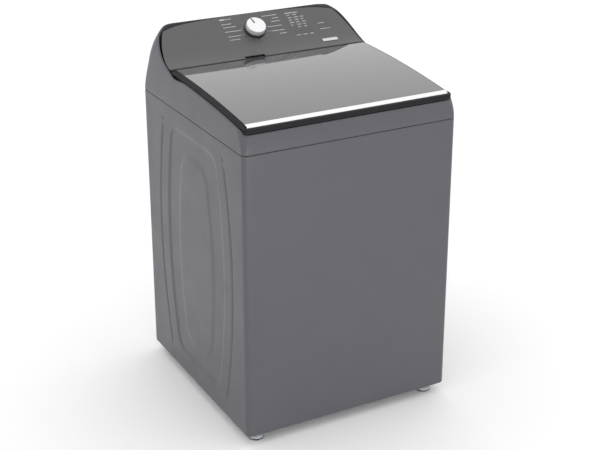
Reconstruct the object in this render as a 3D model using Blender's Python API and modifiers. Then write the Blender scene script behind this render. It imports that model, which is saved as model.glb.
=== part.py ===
"""Top load washing machine: an assembly of separate parts, in metres, +Z up.

The origin is on the floor at the middle of the footprint. The front faces -Y, and +X is the
right-hand side for someone standing in front of the machine.
"""
import math
from math import cos, exp, pi, radians, sin

import bmesh
import bpy
from mathutils import Matrix, Vector

for old in list(bpy.data.objects):
    bpy.data.objects.remove(old, do_unlink=True)

# ------------------------------------------------------------------ driving dimensions (metres)
WIDTH = 0.6985              # cabinet width, 27 1/2 in
DEPTH = 0.7115              # cabinet depth, 28 in
HALF_W = WIDTH / 2
HALF_D = DEPTH / 2
FOOT_HEIGHT = 0.034         # floor to the cabinet's lower edge
SEAM_Z = 0.9227             # the joint line between cabinet and top panel
SEAM_GAP = 0.0015
TOP_Z0 = SEAM_Z + SEAM_GAP
SHEET = 0.0010              # painted steel sheet
CORNER_R = 0.016            # vertical corners of the cabinet

LID_HALF_X = 0.340
LID_FRONT_Y = -0.346
LID_REAR_Y = 0.154
GLASS_BORDER = 0.013        # frame that shows round the glass
HINGE_Y = 0.1485
HINGE_Z = 1.026
HINGE_X = 0.288             # middle of each hinge bracket, either side

FASCIA_Y0 = 0.1615          # lower edge of the control panel
FASCIA_Z0 = 1.0325
FASCIA_T = 0.0025
KNOB_Y = 0.267
KNOB_TILT = radians(35)
KNOB_R = 0.0315
DIAL_RING_H = 0.006
DIAL_RING_LIFT = 0.0014     # clears the panel's slight hollow
KNOB_H = 0.0165

TUB_Y = -0.010              # the tub's vertical axis
BASKET_R = 0.262
BASKET_Z0 = 0.405
BASKET_Z1 = 0.895
TUB_R = 0.284
TUB_Z0 = 0.345
TUB_Z1 = 0.902
PULLEY_Z = 0.195
PULLEY_R = 0.095
MOTOR_PULLEY_R = 0.0125
MOTOR_X = 0.0
MOTOR_Y = 0.155
ROD_OFFSET = 0.292          # suspension rods: distance from the tub's axis along X and along Y
ROD_R = 0.004
EAR_Z = 0.380

FOOT_X = 0.300
FOOT_Y = 0.309
FOOT_R = 0.0235

ROUND_STEPS = 28            # sides of a large turned part
SMALL_STEPS = 16            # sides of a small one

# ------------------------------------------------------------------ collections and materials
PARTS = bpy.data.collections.new("top_load_washing_machine")
CUTTERS = bpy.data.collections.new("cutters")
for group in (PARTS, CUTTERS):
    bpy.context.scene.collection.children.link(group)

FINISHES = {                # name: (colour, roughness, metallic)
    "graphite_paint": ((0.17, 0.165, 0.185), 0.35, 0.6),
    "fascia_plastic": ((0.15, 0.15, 0.15), 0.3, 0.0),
    "tinted_glass": ((0.12, 0.12, 0.125), 0.05, 0.0),
    "bright_trim": ((0.85, 0.85, 0.86), 0.2, 1.0),
    "black_plastic": ((0.02, 0.02, 0.022), 0.5, 0.0),
    "grey_plastic": ((0.45, 0.46, 0.47), 0.5, 0.0),
    "white_plastic": ((0.75, 0.76, 0.77), 0.5, 0.0),
    "knob_silver": ((0.8, 0.8, 0.8), 0.25, 0.8),
    "stainless": ((0.6, 0.6, 0.6), 0.3, 1.0),
    "galvanised": ((0.5, 0.51, 0.52), 0.45, 1.0),
    "cast_aluminium": ((0.55, 0.55, 0.56), 0.5, 1.0),
    "spring_steel": ((0.35, 0.35, 0.36), 0.4, 1.0),
    "rubber": ((0.03, 0.03, 0.03), 0.8, 0.0),
    "circuit_board": ((0.02, 0.12, 0.05), 0.5, 0.0),
    "blue_plastic": ((0.05, 0.12, 0.4), 0.5, 0.0),
}


def material(name):
    """The Principled material of one finish, made once."""
    found = bpy.data.materials.get(name)
    if found:
        return found
    colour, roughness, metallic = FINISHES[name]
    made = bpy.data.materials.new(name)
    made.use_nodes = True
    shader = made.node_tree.nodes["Principled BSDF"]
    shader.inputs["Base Color"].default_value = (*colour, 1.0)
    shader.inputs["Roughness"].default_value = roughness
    shader.inputs["Metallic"].default_value = metallic
    return made


# ------------------------------------------------------------------ making objects
def add_object(name, data, finish):
    obj = bpy.data.objects.new(name, data)
    if finish is None:
        CUTTERS.objects.link(obj)
        obj.hide_render = True
        obj.display_type = 'WIRE'
    else:
        PARTS.objects.link(obj)
        data.materials.append(material(finish))
    return obj


def mesh_object(name, bm, finish, smooth=False):
    mesh = bpy.data.meshes.new(name)
    bm.to_mesh(mesh)
    bm.free()
    if smooth:
        mesh.shade_smooth()
        mesh.set_sharp_from_angle(angle=radians(40))
    return add_object(name, mesh, finish)


def block(name, low, high, finish, bevel=0.0, segments=2):
    """A box between two corners, with its edges rounded by bevel."""
    low, high = Vector(low), Vector(high)
    bm = bmesh.new()
    bmesh.ops.create_cube(bm, size=1.0, matrix=Matrix.Diagonal((*(high - low), 1.0)))
    obj = mesh_object(name, bm, finish)
    obj.location = (low + high) / 2
    if bevel:
        rounding = obj.modifiers.new("rounding", 'BEVEL')
        rounding.width = bevel
        rounding.segments = segments
    return obj


def cylinder(name, start, end, radius, finish, steps=SMALL_STEPS):
    """A round bar from start to end."""
    start, end = Vector(start), Vector(end)
    along = end - start
    bm = bmesh.new()
    bmesh.ops.create_cone(bm, cap_ends=True, segments=steps, radius1=radius, radius2=radius,
                          depth=along.length)
    obj = mesh_object(name, bm, finish, smooth=finish is not None)
    obj.location = (start + end) / 2
    obj.rotation_mode = 'QUATERNION'
    obj.rotation_quaternion = Vector((0, 0, 1)).rotation_difference(along)
    return obj


def turned(name, profile, finish, location=(0, 0, 0), steps=ROUND_STEPS, ring=False):
    """A profile of (radius, height) turned about Z. It runs top to bottom on its outer side.

    A ring is a closed profile clear of the axis. Otherwise both ends lie on the axis.
    """
    bm = bmesh.new()
    points = [bm.verts.new((radius, 0.0, height)) for radius, height in profile]
    pairs = list(zip(points, points[1:]))
    if ring:
        pairs.append((points[-1], points[0]))
    for first, second in pairs:
        bm.edges.new((first, second))
    obj = mesh_object(name, bm, finish)
    obj.location = location
    screw = obj.modifiers.new("turn", 'SCREW')
    screw.angle = 2 * pi
    screw.steps = steps
    screw.render_steps = steps
    screw.use_merge_vertices = True
    screw.merge_threshold = 0.00001
    screw.use_smooth_shade = True
    return obj


def sheet(name, rows, finish, thickness=SHEET, closed=False, inward=True, smooth=True):
    """A sheet-metal or moulded shell: rows of points joined by faces, given a thickness.

    Each row runs round the part in the same direction. closed joins each row's end to its start.
    """
    bm = bmesh.new()
    grid = [[bm.verts.new(point) for point in row] for row in rows]
    count = len(rows[0])
    for lower, upper in zip(grid, grid[1:]):
        for i in range(count if closed else count - 1):
            j = (i + 1) % count
            bm.faces.new((lower[i], lower[j], upper[j], upper[i]))
    obj = mesh_object(name, bm, finish, smooth=smooth)
    wall = obj.modifiers.new("wall", 'SOLIDIFY')
    wall.thickness = thickness
    wall.offset = -1.0 if inward else 1.0
    wall.use_even_offset = True
    return obj


def flat_shape(name, outline, low, high, finish):
    """A flat outline in X and Y, extruded from one height to another."""
    curve = bpy.data.curves.new(name, 'CURVE')
    curve.dimensions = '2D'
    curve.fill_mode = 'BOTH'
    curve.extrude = (high - low) / 2
    spline = curve.splines.new('POLY')
    spline.points.add(len(outline) - 1)
    for point, (x, y) in zip(spline.points, outline):
        point.co = (x, y, 0.0, 1.0)
    spline.use_cyclic_u = True
    obj = add_object(name, curve, finish)
    obj.location = (0, 0, (low + high) / 2)
    return as_mesh(obj, finish)


def tube(name, points, radius, finish, resolution=2, cyclic=False):
    """A round bar bent along points."""
    curve = bpy.data.curves.new(name, 'CURVE')
    curve.dimensions = '3D'
    curve.bevel_depth = radius
    curve.bevel_resolution = resolution
    curve.use_fill_caps = True
    spline = curve.splines.new('POLY')
    spline.points.add(len(points) - 1)
    for point, place in zip(spline.points, points):
        point.co = (*place, 1.0)
    spline.use_cyclic_u = cyclic
    return as_mesh(add_object(name, curve, finish), finish)


def as_mesh(obj, finish):
    """Turn a curve object into a mesh object with welded caps, so that it can be cut."""
    bpy.context.view_layer.update()
    graph = bpy.context.evaluated_depsgraph_get()
    mesh = bpy.data.meshes.new_from_object(obj.evaluated_get(graph))
    bm = bmesh.new()
    bm.from_mesh(mesh)
    bmesh.ops.remove_doubles(bm, verts=bm.verts, dist=0.00001)
    bm.to_mesh(mesh)
    bm.free()
    name, place = obj.name, obj.matrix_world.copy()
    bpy.data.objects.remove(obj, do_unlink=True)
    mesh.materials.clear()
    made = add_object(name, mesh, finish)
    made.matrix_world = place
    return made


def combine(obj, tool, operation):
    step = obj.modifiers.new(f"{operation.lower()}_{tool.name}", 'BOOLEAN')
    step.operation = operation
    step.object = tool
    step.solver = 'EXACT'


def cut(obj, *tools):
    for tool in tools:
        combine(obj, tool, 'DIFFERENCE')


def join(obj, *tools):
    for tool in tools:
        combine(obj, tool, 'UNION')


# ------------------------------------------------------------------ shared curves
def rounded_outline(half_x, front, rear, front_r, rear_r, corner_steps=5, side_steps=1, end_steps=1):
    """Points round a rectangle, anticlockwise from the rear right corner's start, seen from above."""
    corners = [
        (half_x - rear_r, rear - rear_r, rear_r, 0.0),
        (-half_x + rear_r, rear - rear_r, rear_r, pi / 2),
        (-half_x + front_r, front + front_r, front_r, pi),
        (half_x - front_r, front + front_r, front_r, 3 * pi / 2),
    ]
    splits = (end_steps, side_steps, end_steps, side_steps)
    points = []
    for number, (cx, cy, radius, start) in enumerate(corners):
        arc = [(cx + radius * cos(start + step * pi / 2 / corner_steps),
                cy + radius * sin(start + step * pi / 2 / corner_steps)) for step in range(corner_steps + 1)]
        points += arc
        nx, ny, nr, nstart = corners[(number + 1) % 4]
        following = (nx + nr * cos(nstart), ny + nr * sin(nstart))
        for step in range(1, splits[number]):
            share = step / splits[number]
            points.append((arc[-1][0] + (following[0] - arc[-1][0]) * share,
                           arc[-1][1] + (following[1] - arc[-1][1]) * share))
    return points


def inset_outline(inset, **changes):
    """The cabinet's outline moved inwards by inset."""
    radius = max(CORNER_R - inset, 0.003)
    return rounded_outline(HALF_W - inset, -HALF_D + inset, HALF_D - inset, radius, radius, **changes)


def lid_z(y):
    """Height of the lid's top face, which is slightly crowned from front to back."""
    return 1.0310 + 0.0441 * y - 0.1250 * y * y


def fascia_z(y):
    """Height of the control panel: level at its lower edge, sweeping up to a steady slope."""
    slope, sweep = 0.79, 0.038
    run = y - FASCIA_Y0
    return FASCIA_Z0 + slope * (run - sweep * (1 - exp(-run / sweep)))


def fascia_tilt(y):
    return math.atan(0.79 * (1 - exp(-(y - FASCIA_Y0) / 0.038)))


def fascia_half_x(y):
    """Half the panel's width, which narrows towards its top corners."""
    return 0.337 - 0.038 * (max(y - FASCIA_Y0, 0.0) / 0.139) ** 2.4


def fascia_top_y(share):
    """The panel's arched upper edge, from share -1 at its left end to 1 at its right."""
    return 0.3205 - 0.011 * share ** 2 - 0.0105 * share ** 10


# ------------------------------------------------------------------ cabinet, rear panel, base
def make_cabinet():
    """One sheet wrapped round the front and both sides, with return flanges and corner gussets."""
    def wrap(inset, z):
        ring = inset_outline(inset)
        lip = 0.022
        start = (-HALF_W + lip, HALF_D - inset)
        end = (HALF_W - lip, HALF_D - inset)
        body = [point for point in ring[6:12]] + ring[12:24] + ring[0:6]
        return [(*point, z) for point in [start] + body + [end]]

    rows = [wrap(0.011, FOOT_HEIGHT), wrap(0.0, FOOT_HEIGHT), wrap(0.0, SEAM_Z), wrap(0.011, SEAM_Z)]
    cabinet = sheet("cabinet", rows, "graphite_paint")
    gusset = 0.130
    for number, (sx, sy) in enumerate(((-1, -1), (1, -1), (1, 1), (-1, 1))):
        x0, y0 = sx * (HALF_W - 0.0006), sy * (HALF_D - 0.0006)
        outline = [(x0 - sx * 0.012, y0), (x0 - sx * gusset, y0),
                   (x0 - sx * gusset, y0 - sy * 0.02), (x0 - sx * 0.02, y0 - sy * gusset),
                   (x0, y0 - sy * gusset), (x0, y0 - sy * 0.012)]
        if sy > 0:
            outline = [(x, min(y, HALF_D - 0.006)) for x, y in outline]
        plate = flat_shape(f"gusset_plate_{number}", outline, 0.874, 0.876, None)
        join(cabinet, plate)
        hole = cylinder(f"gusset_hole_{number}", (sx * ROD_OFFSET, TUB_Y + sy * ROD_OFFSET, 0.86),
                        (sx * ROD_OFFSET, TUB_Y + sy * ROD_OFFSET, 0.89), 0.006, None, steps=12)
        cut(cabinet, hole)
    return cabinet


def make_rear_panel():
    top = SEAM_Z - 0.012
    edge, front, rear = 0.0175, HALF_D - 0.0028, HALF_D - 0.0016
    return block("rear_panel", (-HALF_W + edge, front, FOOT_HEIGHT + 0.010), (HALF_W - edge, rear, top),
                 "galvanised")


def make_base_frame():
    """A pressed channel frame that the feet screw into."""
    wall, plate_z = 0.0022, FOOT_HEIGHT + 0.0022
    half_x, half_y = HALF_W - 0.0030, HALF_D - 0.0062

    def ring(inset, z):
        radius = max(0.012 - inset, 0.004)
        return [(*p, z) for p in rounded_outline(half_x - inset, -half_y + inset, half_y - inset,
                                                 radius, radius, corner_steps=3)]
    rows = [ring(0.082, 0.056), ring(0.082, plate_z), ring(0.0, plate_z), ring(0.0, 0.064)]
    frame = sheet("base_frame", rows, "galvanised", thickness=wall, closed=True)
    for number, (x, y) in enumerate(foot_places()):
        cut(frame, cylinder(f"foot_hole_{number}", (x, y, 0.02), (x, y, 0.06), 0.0056, None, steps=16))
    return frame


def foot_places():
    return [(-FOOT_X, -FOOT_Y), (FOOT_X, -FOOT_Y), (-FOOT_X, FOOT_Y), (FOOT_X, FOOT_Y)]


FOOT_NAMES = ("front_left", "front_right", "rear_left", "rear_right")


def make_feet():
    """Levelling feet: a wide pad, a grey nut-shaped collar and a threaded stem."""
    pad, collar = FOOT_R, 0.017
    profile = [(0.0, 0.098), (0.0038, 0.098), (0.005, 0.096), (0.005, 0.0235), (0.012, 0.0225),
               (collar, 0.0190), (pad - 0.002, 0.0150), (pad, 0.0125), (pad, 0.003), (pad - 0.002, 0.0),
               (0.0, 0.0)]
    return [turned(f"foot_{name}", profile, "rubber", (x, y, 0.0), steps=16)
            for name, (x, y) in zip(FOOT_NAMES, foot_places())]


# ------------------------------------------------------------------ top panel
TOP_LEAN = 0.1              # rear face leans forward by this much per metre of height
DECK_DROP = 0.021           # deck below the rim that the lid's edge covers


def side_inset(z):
    rise = max(z - TOP_Z0, 0.0)
    shoulder = max((z - 1.03) / 0.095, 0.0)
    return 0.0035 * (rise / 0.09) ** 1.5 + 0.034 * shoulder ** 2.2


def front_inset(z):
    return 0.012 * (max(z - TOP_Z0, 0.0) / 0.062) ** 2


def rear_y(z):
    return HALF_D - TOP_LEAN * max(z - TOP_Z0, 0.0)


def blend_step(share):
    share = min(max(share, 0.0), 1.0)
    return share * share * (3 - 2 * share)


def rim_z(y):
    """Height of the top panel's upper edge: a rim beside the lid, and wings beside the console."""
    rim = lid_z(y) - 0.0130 - 0.006 * blend_step((y - 0.04) / 0.07) - 0.0085 * blend_step((-0.326 - y) / 0.014)
    wing = fascia_z(max(y - 0.004, FASCIA_Y0)) + 0.002
    share = blend_step((y - 0.115) / 0.075)
    return rim * (1 - share) + wing * share


def panel_outline_at(z, inset):
    """The top panel's plan shape at a height, moved inwards by inset."""
    front_r = CORNER_R + 0.014 * min(max(z - TOP_Z0, 0.0) / 0.06, 1.0) ** 2
    rear_r = CORNER_R + 0.038 * blend_step((z - TOP_Z0) / 0.15)
    return rounded_outline(HALF_W - side_inset(z) - inset, -HALF_D + front_inset(min(z, 0.99)) + inset,
                           rear_y(z) - inset, max(front_r - inset, 0.004), max(rear_r - inset, 0.004),
                           corner_steps=4, side_steps=11, end_steps=4)


def upper_edge(inset, drop):
    """The panel's upper edge, found where the outline at a height meets the rim's height there."""
    count = len(panel_outline_at(TOP_Z0, 0.0))
    edge = []
    for i in range(count):
        z = 1.0
        for _ in range(40):
            x, y = panel_outline_at(z, inset)[i]
            goal = rim_z(min(y, 0.318)) if y > 0.0 else rim_z(y)
            z += (goal - drop - z) * 0.5
        edge.append((x, y, z))
    return edge


def opening_point(angle):
    """A point on the tub opening: a rounded, slightly flattened ring under the lid."""
    half_x, half_y, centre_y, power = 0.238, 0.193, -0.100, 2.8
    c, s = cos(angle), sin(angle)
    reach = (abs(c / half_x) ** power + abs(s / half_y) ** power) ** (-1 / power)
    return (reach * c, centre_y + reach * s)


def make_top_panel():
    """The painted top: apron, sides, wings, rear wall, deck and tub opening in one pressing."""
    top = upper_edge(0.0, 0.0)
    rows = []
    for share in (0.0, 0.35, 0.7, 0.93):
        row = []
        for i, (_, _, z_top) in enumerate(top):
            z = TOP_Z0 + (z_top - TOP_Z0) * share
            row.append((*panel_outline_at(z, 0.0)[i], z))
        rows.append(row)
    foot_row = [(*p, TOP_Z0) for p in panel_outline_at(TOP_Z0, 0.010)]
    rim_outer = [(x, y, z) for x, y, z in upper_edge(0.0012, 0.0)]
    rim_inner, deck_edge, deck_mid, lip_top, lip_low = [], [], [], [], []
    for x, y, z in rim_outer:
        width = 0.012 if y < 0.10 else 0.0035
        shrink_x = (abs(x) - width) / abs(x) if abs(x) > 0.05 else 1.0
        inner_y = y + width if y < -0.30 else y
        if y > 0.30:
            inner_y = y - width
        inner_x = x * shrink_x if abs(x) > 0.30 or y > 0.15 else x
        rim_inner.append((inner_x, inner_y, z))
        deck_z = min(lid_z(inner_y) - 0.013 - DECK_DROP + 0.0, 0.996)
        deck_edge.append((inner_x * 0.9975, min(inner_y, 0.325) * 0.9975, deck_z))
    for x, y, z in deck_edge:
        angle = math.atan2((y + 0.10) / 0.24, x / 0.33)
        ox, oy = opening_point(angle)
        deck_mid.append((ox + (x - ox) * 0.06, oy + (y - oy) * 0.06, lid_z(oy) - 0.013 - DECK_DROP))
        lip_top.append((ox, oy, lid_z(oy) - 0.015 - DECK_DROP))
        lip_low.append((ox * 0.985, oy + (-0.10 - oy) * 0.015, 0.948))
    panel = sheet("top_panel", [foot_row] + rows + [rim_outer, rim_inner, deck_edge, deck_mid, lip_top, lip_low],
                  "graphite_paint", closed=True)
    window = block("rear_window", (-0.235, 0.300, 0.945), (0.235, 0.380, 1.085), None)
    cut(panel, window)
    cut(panel, block("dispenser_opening", (-0.268, -0.305, 0.90), (-0.198, -0.205, 1.02), None, bevel=0.012))
    return panel


# ------------------------------------------------------------------ console
def make_fascia():
    """The sloping control panel, with an arched upper edge and a turned-down front lip."""
    across, up = 16, 8
    rows = [[], []]
    for i in range(across + 1):
        share = -1 + 2 * i / across
        x = share * fascia_half_x(FASCIA_Y0)
        rows[0].append((x, FASCIA_Y0 + 0.0006, FASCIA_Z0 - 0.0060))
        rows[1].append((x, FASCIA_Y0, FASCIA_Z0 - 0.0016))
    for j in range(up + 1):
        row = []
        for i in range(across + 1):
            share = -1 + 2 * i / across
            y = FASCIA_Y0 + 0.0025 + (fascia_top_y(share) - FASCIA_Y0 - 0.0025) * j / up
            row.append((share * fascia_half_x(y), y, fascia_z(y)))
        rows.append(row)
    fascia = sheet("console_fascia", rows, "fascia_plastic", thickness=FASCIA_T)
    hole = cylinder("knob_hole", on_fascia_axis(-0.02), on_fascia_axis(0.02), 0.0062, None)
    cut(fascia, hole)
    for name, (x, y, width, length) in KEYS.items():
        cutter = key_block(f"{name}_cutout", x, y, width + 0.0010, length + 0.0010, -0.010, 0.010, None)
        cut(fascia, cutter)
    recess = block("lock_recess", (LOCK_X - 0.034, FASCIA_Y0 - 0.010, FASCIA_Z0 - 0.02),
                   (LOCK_X + 0.034, FASCIA_Y0 + 0.0130, FASCIA_Z0 + 0.02), None)
    cut(fascia, recess)
    return fascia


LOCK_X = -0.0485
KEYS = {                    # name: centre x, centre y on the panel, width, length up the slope
    "start_key": (0.240, 0.268, 0.036, 0.012),
    "power_key": (0.240, 0.2485, 0.036, 0.012),
    "option_key_1": (0.139, 0.239, 0.017, 0.010),
    "option_key_2": (0.163, 0.239, 0.017, 0.010),
    "option_key_3": (0.187, 0.239, 0.017, 0.010),
}


def tilted(y, tilt, height=0.0, x=0.0):
    """Frame of a place on the panel: origin on its face, local Z along the given tilt."""
    place = Matrix.Translation((x, y, fascia_z(y))) @ Matrix.Rotation(tilt, 4, 'X')
    return place @ Matrix.Translation((0, 0, height))


def on_fascia_axis(height):
    return tilted(KNOB_Y, KNOB_TILT, height) @ Vector((0, 0, 0))


def key_block(name, x, y, width, length, low, high, finish, bevel=0.0):
    obj = block(name, (-width / 2, -length / 2, low), (width / 2, length / 2, high), finish, bevel, segments=1)
    middle = (low + high) / 2
    obj.matrix_world = tilted(y, fascia_tilt(y), middle, x)
    return obj


def make_console_parts():
    """Knob, dial ring, keys, badge plate, control board, lock and rear cover."""
    ring = turned("knob_dial_ring", [(0.0335, DIAL_RING_H - 0.001), (0.0340, 0.0020), (0.0340, 0.0014),
                                     (0.0095, 0.0014), (0.0095, DIAL_RING_H), (0.0325, DIAL_RING_H)],
                  "black_plastic", steps=24, ring=True)
    ring.matrix_world = tilted(KNOB_Y, KNOB_TILT, DIAL_RING_LIFT)

    base = DIAL_RING_H + DIAL_RING_LIFT + 0.0006
    top = base + KNOB_H
    knob = turned("control_knob", [
        (0.0, top - 0.0006), (0.0200, top - 0.0004), (KNOB_R - 0.0016, top), (KNOB_R - 0.0003, top - 0.0010),
        (KNOB_R, top - 0.003), (KNOB_R + 0.0004, base), (KNOB_R - 0.0030, base), (KNOB_R - 0.0030, top - 0.004),
        (0.0070, top - 0.004), (0.0055, top - 0.006), (0.0055, -0.012), (0.0, -0.012)],
        "knob_silver", steps=24)
    knob.matrix_world = tilted(KNOB_Y, KNOB_TILT)

    for name, (x, y, width, length) in KEYS.items():
        key_block(name, x, y, width, length, -0.0030, 0.0002, "fascia_plastic", bevel=0.0004)

    y = 0.197
    badge = block("badge_plate", (-0.027, -0.0065, -0.0004), (0.027, 0.0065, 0.0004), "bright_trim",
                  bevel=0.0003, segments=1)
    badge.matrix_world = tilted(y, fascia_tilt(y), 0.0014, 0.235)

    board = block("control_board", (-0.05, -0.033, -0.0008), (0.27, 0.033, 0.0008), "circuit_board")
    board.matrix_world = tilted(0.262, KNOB_TILT, -0.020, 0.11)

    housing = block("lid_lock_housing", (LOCK_X - 0.032, FASCIA_Y0 + 0.0060, 0.9995),
                    (LOCK_X + 0.032, 0.222, 1.0285), "black_plastic", bevel=0.0015)
    cut(housing, cylinder("bolt_bore", (LOCK_X, 0.150, LOCK_Z), (LOCK_X, 0.205, LOCK_Z), 0.0048, None, steps=16))
    cylinder("lid_lock_bolt", (LOCK_X, FASCIA_Y0 + 0.0070, LOCK_Z), (LOCK_X, 0.196, LOCK_Z), 0.0042, "galvanised",
             steps=16)

    lean = math.atan(TOP_LEAN)
    cover_z = 1.0180
    cover = block("console_back_cover", (-0.245, -0.0005, -0.077), (0.245, 0.0005, 0.077), "galvanised")
    cover.matrix_world = (Matrix.Translation((0, rear_y(cover_z) + 0.0010, cover_z))
                          @ Matrix.Rotation(lean, 4, 'X'))
    for name, (x, z, radius) in REAR_FITTINGS.items():
        cut(cover, cylinder(f"{name}_hole", (x, 0.335, z), (x, 0.370, z), radius + 0.0016, None))
    return knob


LOCK_Z = 1.0175
REAR_FITTINGS = {           # name: centre x, centre z, radius where it passes the rear cover
    "left_port": (0.140, 0.977, 0.0132),
    "right_port": (0.200, 0.977, 0.0132),
    "drain": (-0.180, 0.970, 0.0155),
    "gland": (-0.050, 0.970, 0.0105),
}


# ------------------------------------------------------------------ lid
def lid_ring(inset, drop_side, drop_front, blend_from=-0.312):
    """Points round the lid at an inset, below the crowned top face by a drop that changes at the front."""
    radius = max(0.014 - inset, 0.003)
    rear_r = max(0.006 - inset, 0.003)
    points = rounded_outline(LID_HALF_X - inset, LID_FRONT_Y + inset, LID_REAR_Y - inset, radius, rear_r,
                             corner_steps=3, side_steps=6, end_steps=2)
    ring = []
    for x, y in points:
        share = blend_step((blend_from - y) / 0.013)
        ring.append((x, y, lid_z(y) - drop_side * (1 - share) - drop_front * share))
    return ring


def make_lid():
    """A frame with a rebate for the glass, the glass, and the bright strip at the front."""
    front_edge = 0.026      # from the lid's front face to the glass
    skirt_from = -0.330     # the deep front skirt starts here
    rows = [lid_ring(0.0036, 0.0110, 0.0190, skirt_from), lid_ring(0.0, 0.0108, 0.0185, skirt_from),
            lid_ring(0.0, 0.0012, 0.0062),
            lid_ring(0.0012, 0.0, 0.0050), lid_ring(GLASS_BORDER - 0.0005, 0.0, 0.0050),
            lid_ring(GLASS_BORDER - 0.0002, 0.0052, 0.0052), lid_ring(GLASS_BORDER + 0.016, 0.0052, 0.0052)]
    frame = sheet("lid_frame", rows, "black_plastic", thickness=0.0016, closed=True)
    for number, side in enumerate((-1, 1)):
        cut(frame, block(f"hinge_notch_{number}", (side * 0.2995 - 0.0185, 0.1490, 1.0200),
                         (side * 0.2995 + 0.0185, 0.1560, 1.0330), None))

    def glass_row(y, drop):
        half = LID_HALF_X - GLASS_BORDER - 0.0010
        return [(-half + 2 * half * i / 8, y, lid_z(y) - drop) for i in range(9)]
    y0, y1 = LID_FRONT_Y + front_edge, LID_REAR_Y - GLASS_BORDER - 0.0010
    glass_rows = [glass_row(y0 + (y1 - y0) * j / 10, 0.0) for j in range(11)]
    sheet("lid_glass", glass_rows, "tinted_glass", thickness=0.0040)

    half = LID_HALF_X - 0.0085
    strip = [(y0 - 0.0006, 0.0), (-0.3335, 0.0004), (-0.3405, 0.0014), (-0.3440, 0.0026), (-0.3452, 0.0036)]
    strip_rows = [[(x, y, lid_z(y) - drop) for x in (-half, 0.0, half)] for y, drop in reversed(strip)]
    sheet("lid_front_trim", strip_rows, "bright_trim", thickness=0.0012)
    return frame


# ------------------------------------------------------------------ small parts under the top
def make_hinges():
    """Brackets on the deck, and pins through them on lugs under the lid's frame."""
    plate_t, foot_len, plate_r, pin_r = 0.0040, 0.020, 0.0048, 0.0025
    deck_z, plate_top, lug_top = 0.9990, HINGE_Z + 0.0042, HINGE_Z + 0.0015
    for name, side in (("left", -1), ("right", 1)):
        def span(first, second):
            return sorted((side * first, side * second))

        x0, x1 = span(HINGE_X - plate_t / 2, HINGE_X + plate_t / 2)
        plate = block(f"lid_hinge_bracket_{name}", (x0, HINGE_Y - plate_r, deck_z),
                      (x1, HINGE_Y + plate_r, plate_top), "galvanised", bevel=0.0014, segments=1)
        x0, x1 = span(HINGE_X - foot_len, HINGE_X + 0.001)
        join(plate, block(f"hinge_foot_{name}", (x0, HINGE_Y - plate_r, deck_z - 0.0015),
                          (x1, HINGE_Y + plate_r, deck_z + 0.0015), None))
        cut(plate, cylinder(f"hinge_hole_{name}", (side * (HINGE_X - 0.01), HINGE_Y, HINGE_Z),
                            (side * (HINGE_X + 0.01), HINGE_Y, HINGE_Z), pin_r + 0.0004, None, steps=16))
        pin = cylinder(f"lid_hinge_pin_{name}", (side * 0.2835, HINGE_Y, HINGE_Z), (side * 0.3150, HINGE_Y, HINGE_Z),
                       pin_r, "galvanised", steps=16)
        x0, x1 = span(0.3115, 0.3158)
        join(pin, block(f"pin_lug_{name}", (x0, 0.1285, HINGE_Z - 0.0035), (x1, 0.1512, lug_top), None))


def make_deck_fittings():
    """Bleach cup, fill nozzle, inlet valve, drain elbow and cord gland."""
    x0, x1, y0, y1 = -0.2665, -0.1995, -0.3035, -0.2065
    top = 0.9770
    cup = block("bleach_dispenser", (x0, y0, 0.9395), (x1, y1, top), "grey_plastic", bevel=0.010)
    cut(cup, block("bleach_hollow", (x0 + 0.003, y0 + 0.003, 0.9425), (x1 - 0.003, y1 - 0.003, top + 0.02),
                   None, bevel=0.008))

    nozzle = block("fill_nozzle", (0.060, 0.112, 0.9350), (0.120, 0.150, 0.9700), "black_plastic", bevel=0.006)
    cut(nozzle, block("nozzle_throat", (0.066, 0.100, 0.9390), (0.114, 0.144, 0.9620), None, bevel=0.004))

    valve_y, port_end = 0.318, 0.3550
    body = block("water_inlet_valve", (0.118, valve_y - 0.022, 0.960), (0.222, valve_y + 0.010, 0.9935),
                 "white_plastic", bevel=0.003)
    for name in ("left_port", "right_port"):
        x, z, radius = REAR_FITTINGS[name]
        port = cylinder(name, (x, valve_y, z), (x, port_end, z), radius, None)
        coil = cylinder(f"{name}_coil", (x, valve_y - 0.044, z), (x, valve_y - 0.018, z), 0.013, None)
        bore = cylinder(f"{name}_bore", (x, valve_y + 0.004, z), (x, port_end + 0.01, z), radius - 0.0037, None)
        join(body, port, coil)
        cut(body, bore)

    for name, part, finish, bore_r in (("drain", "drain_outlet", "grey_plastic", 0.0120),
                                       ("gland", "power_cord_gland", "black_plastic", 0.0045)):
        x, z, radius = REAR_FITTINGS[name]
        pipe = cylinder(part, (x, 0.312, z), (x, port_end, z), radius, finish)
        join(pipe, cylinder(f"{name}_flange", (x, 0.3380, z), (x, 0.3460, z), radius + 0.0070, None))
        cut(pipe, cylinder(f"{name}_bore", (x, 0.30, z), (x, port_end + 0.01, z), bore_r, None))


def make_lid_strike():
    """Catch plate under the lid's rear edge, with the hole that the lock's bolt enters."""
    z_top = lid_z(0.148) - 0.0074
    strike = block("lid_strike", (LOCK_X - 0.014, 0.1465, LOCK_Z - 0.0090), (LOCK_X + 0.014, 0.1500, z_top),
                   "galvanised", bevel=0.0008, segments=1)
    cut(strike, cylinder("strike_hole", (LOCK_X, 0.13, LOCK_Z), (LOCK_X, 0.17, LOCK_Z), 0.0058, None, steps=16))


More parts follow.
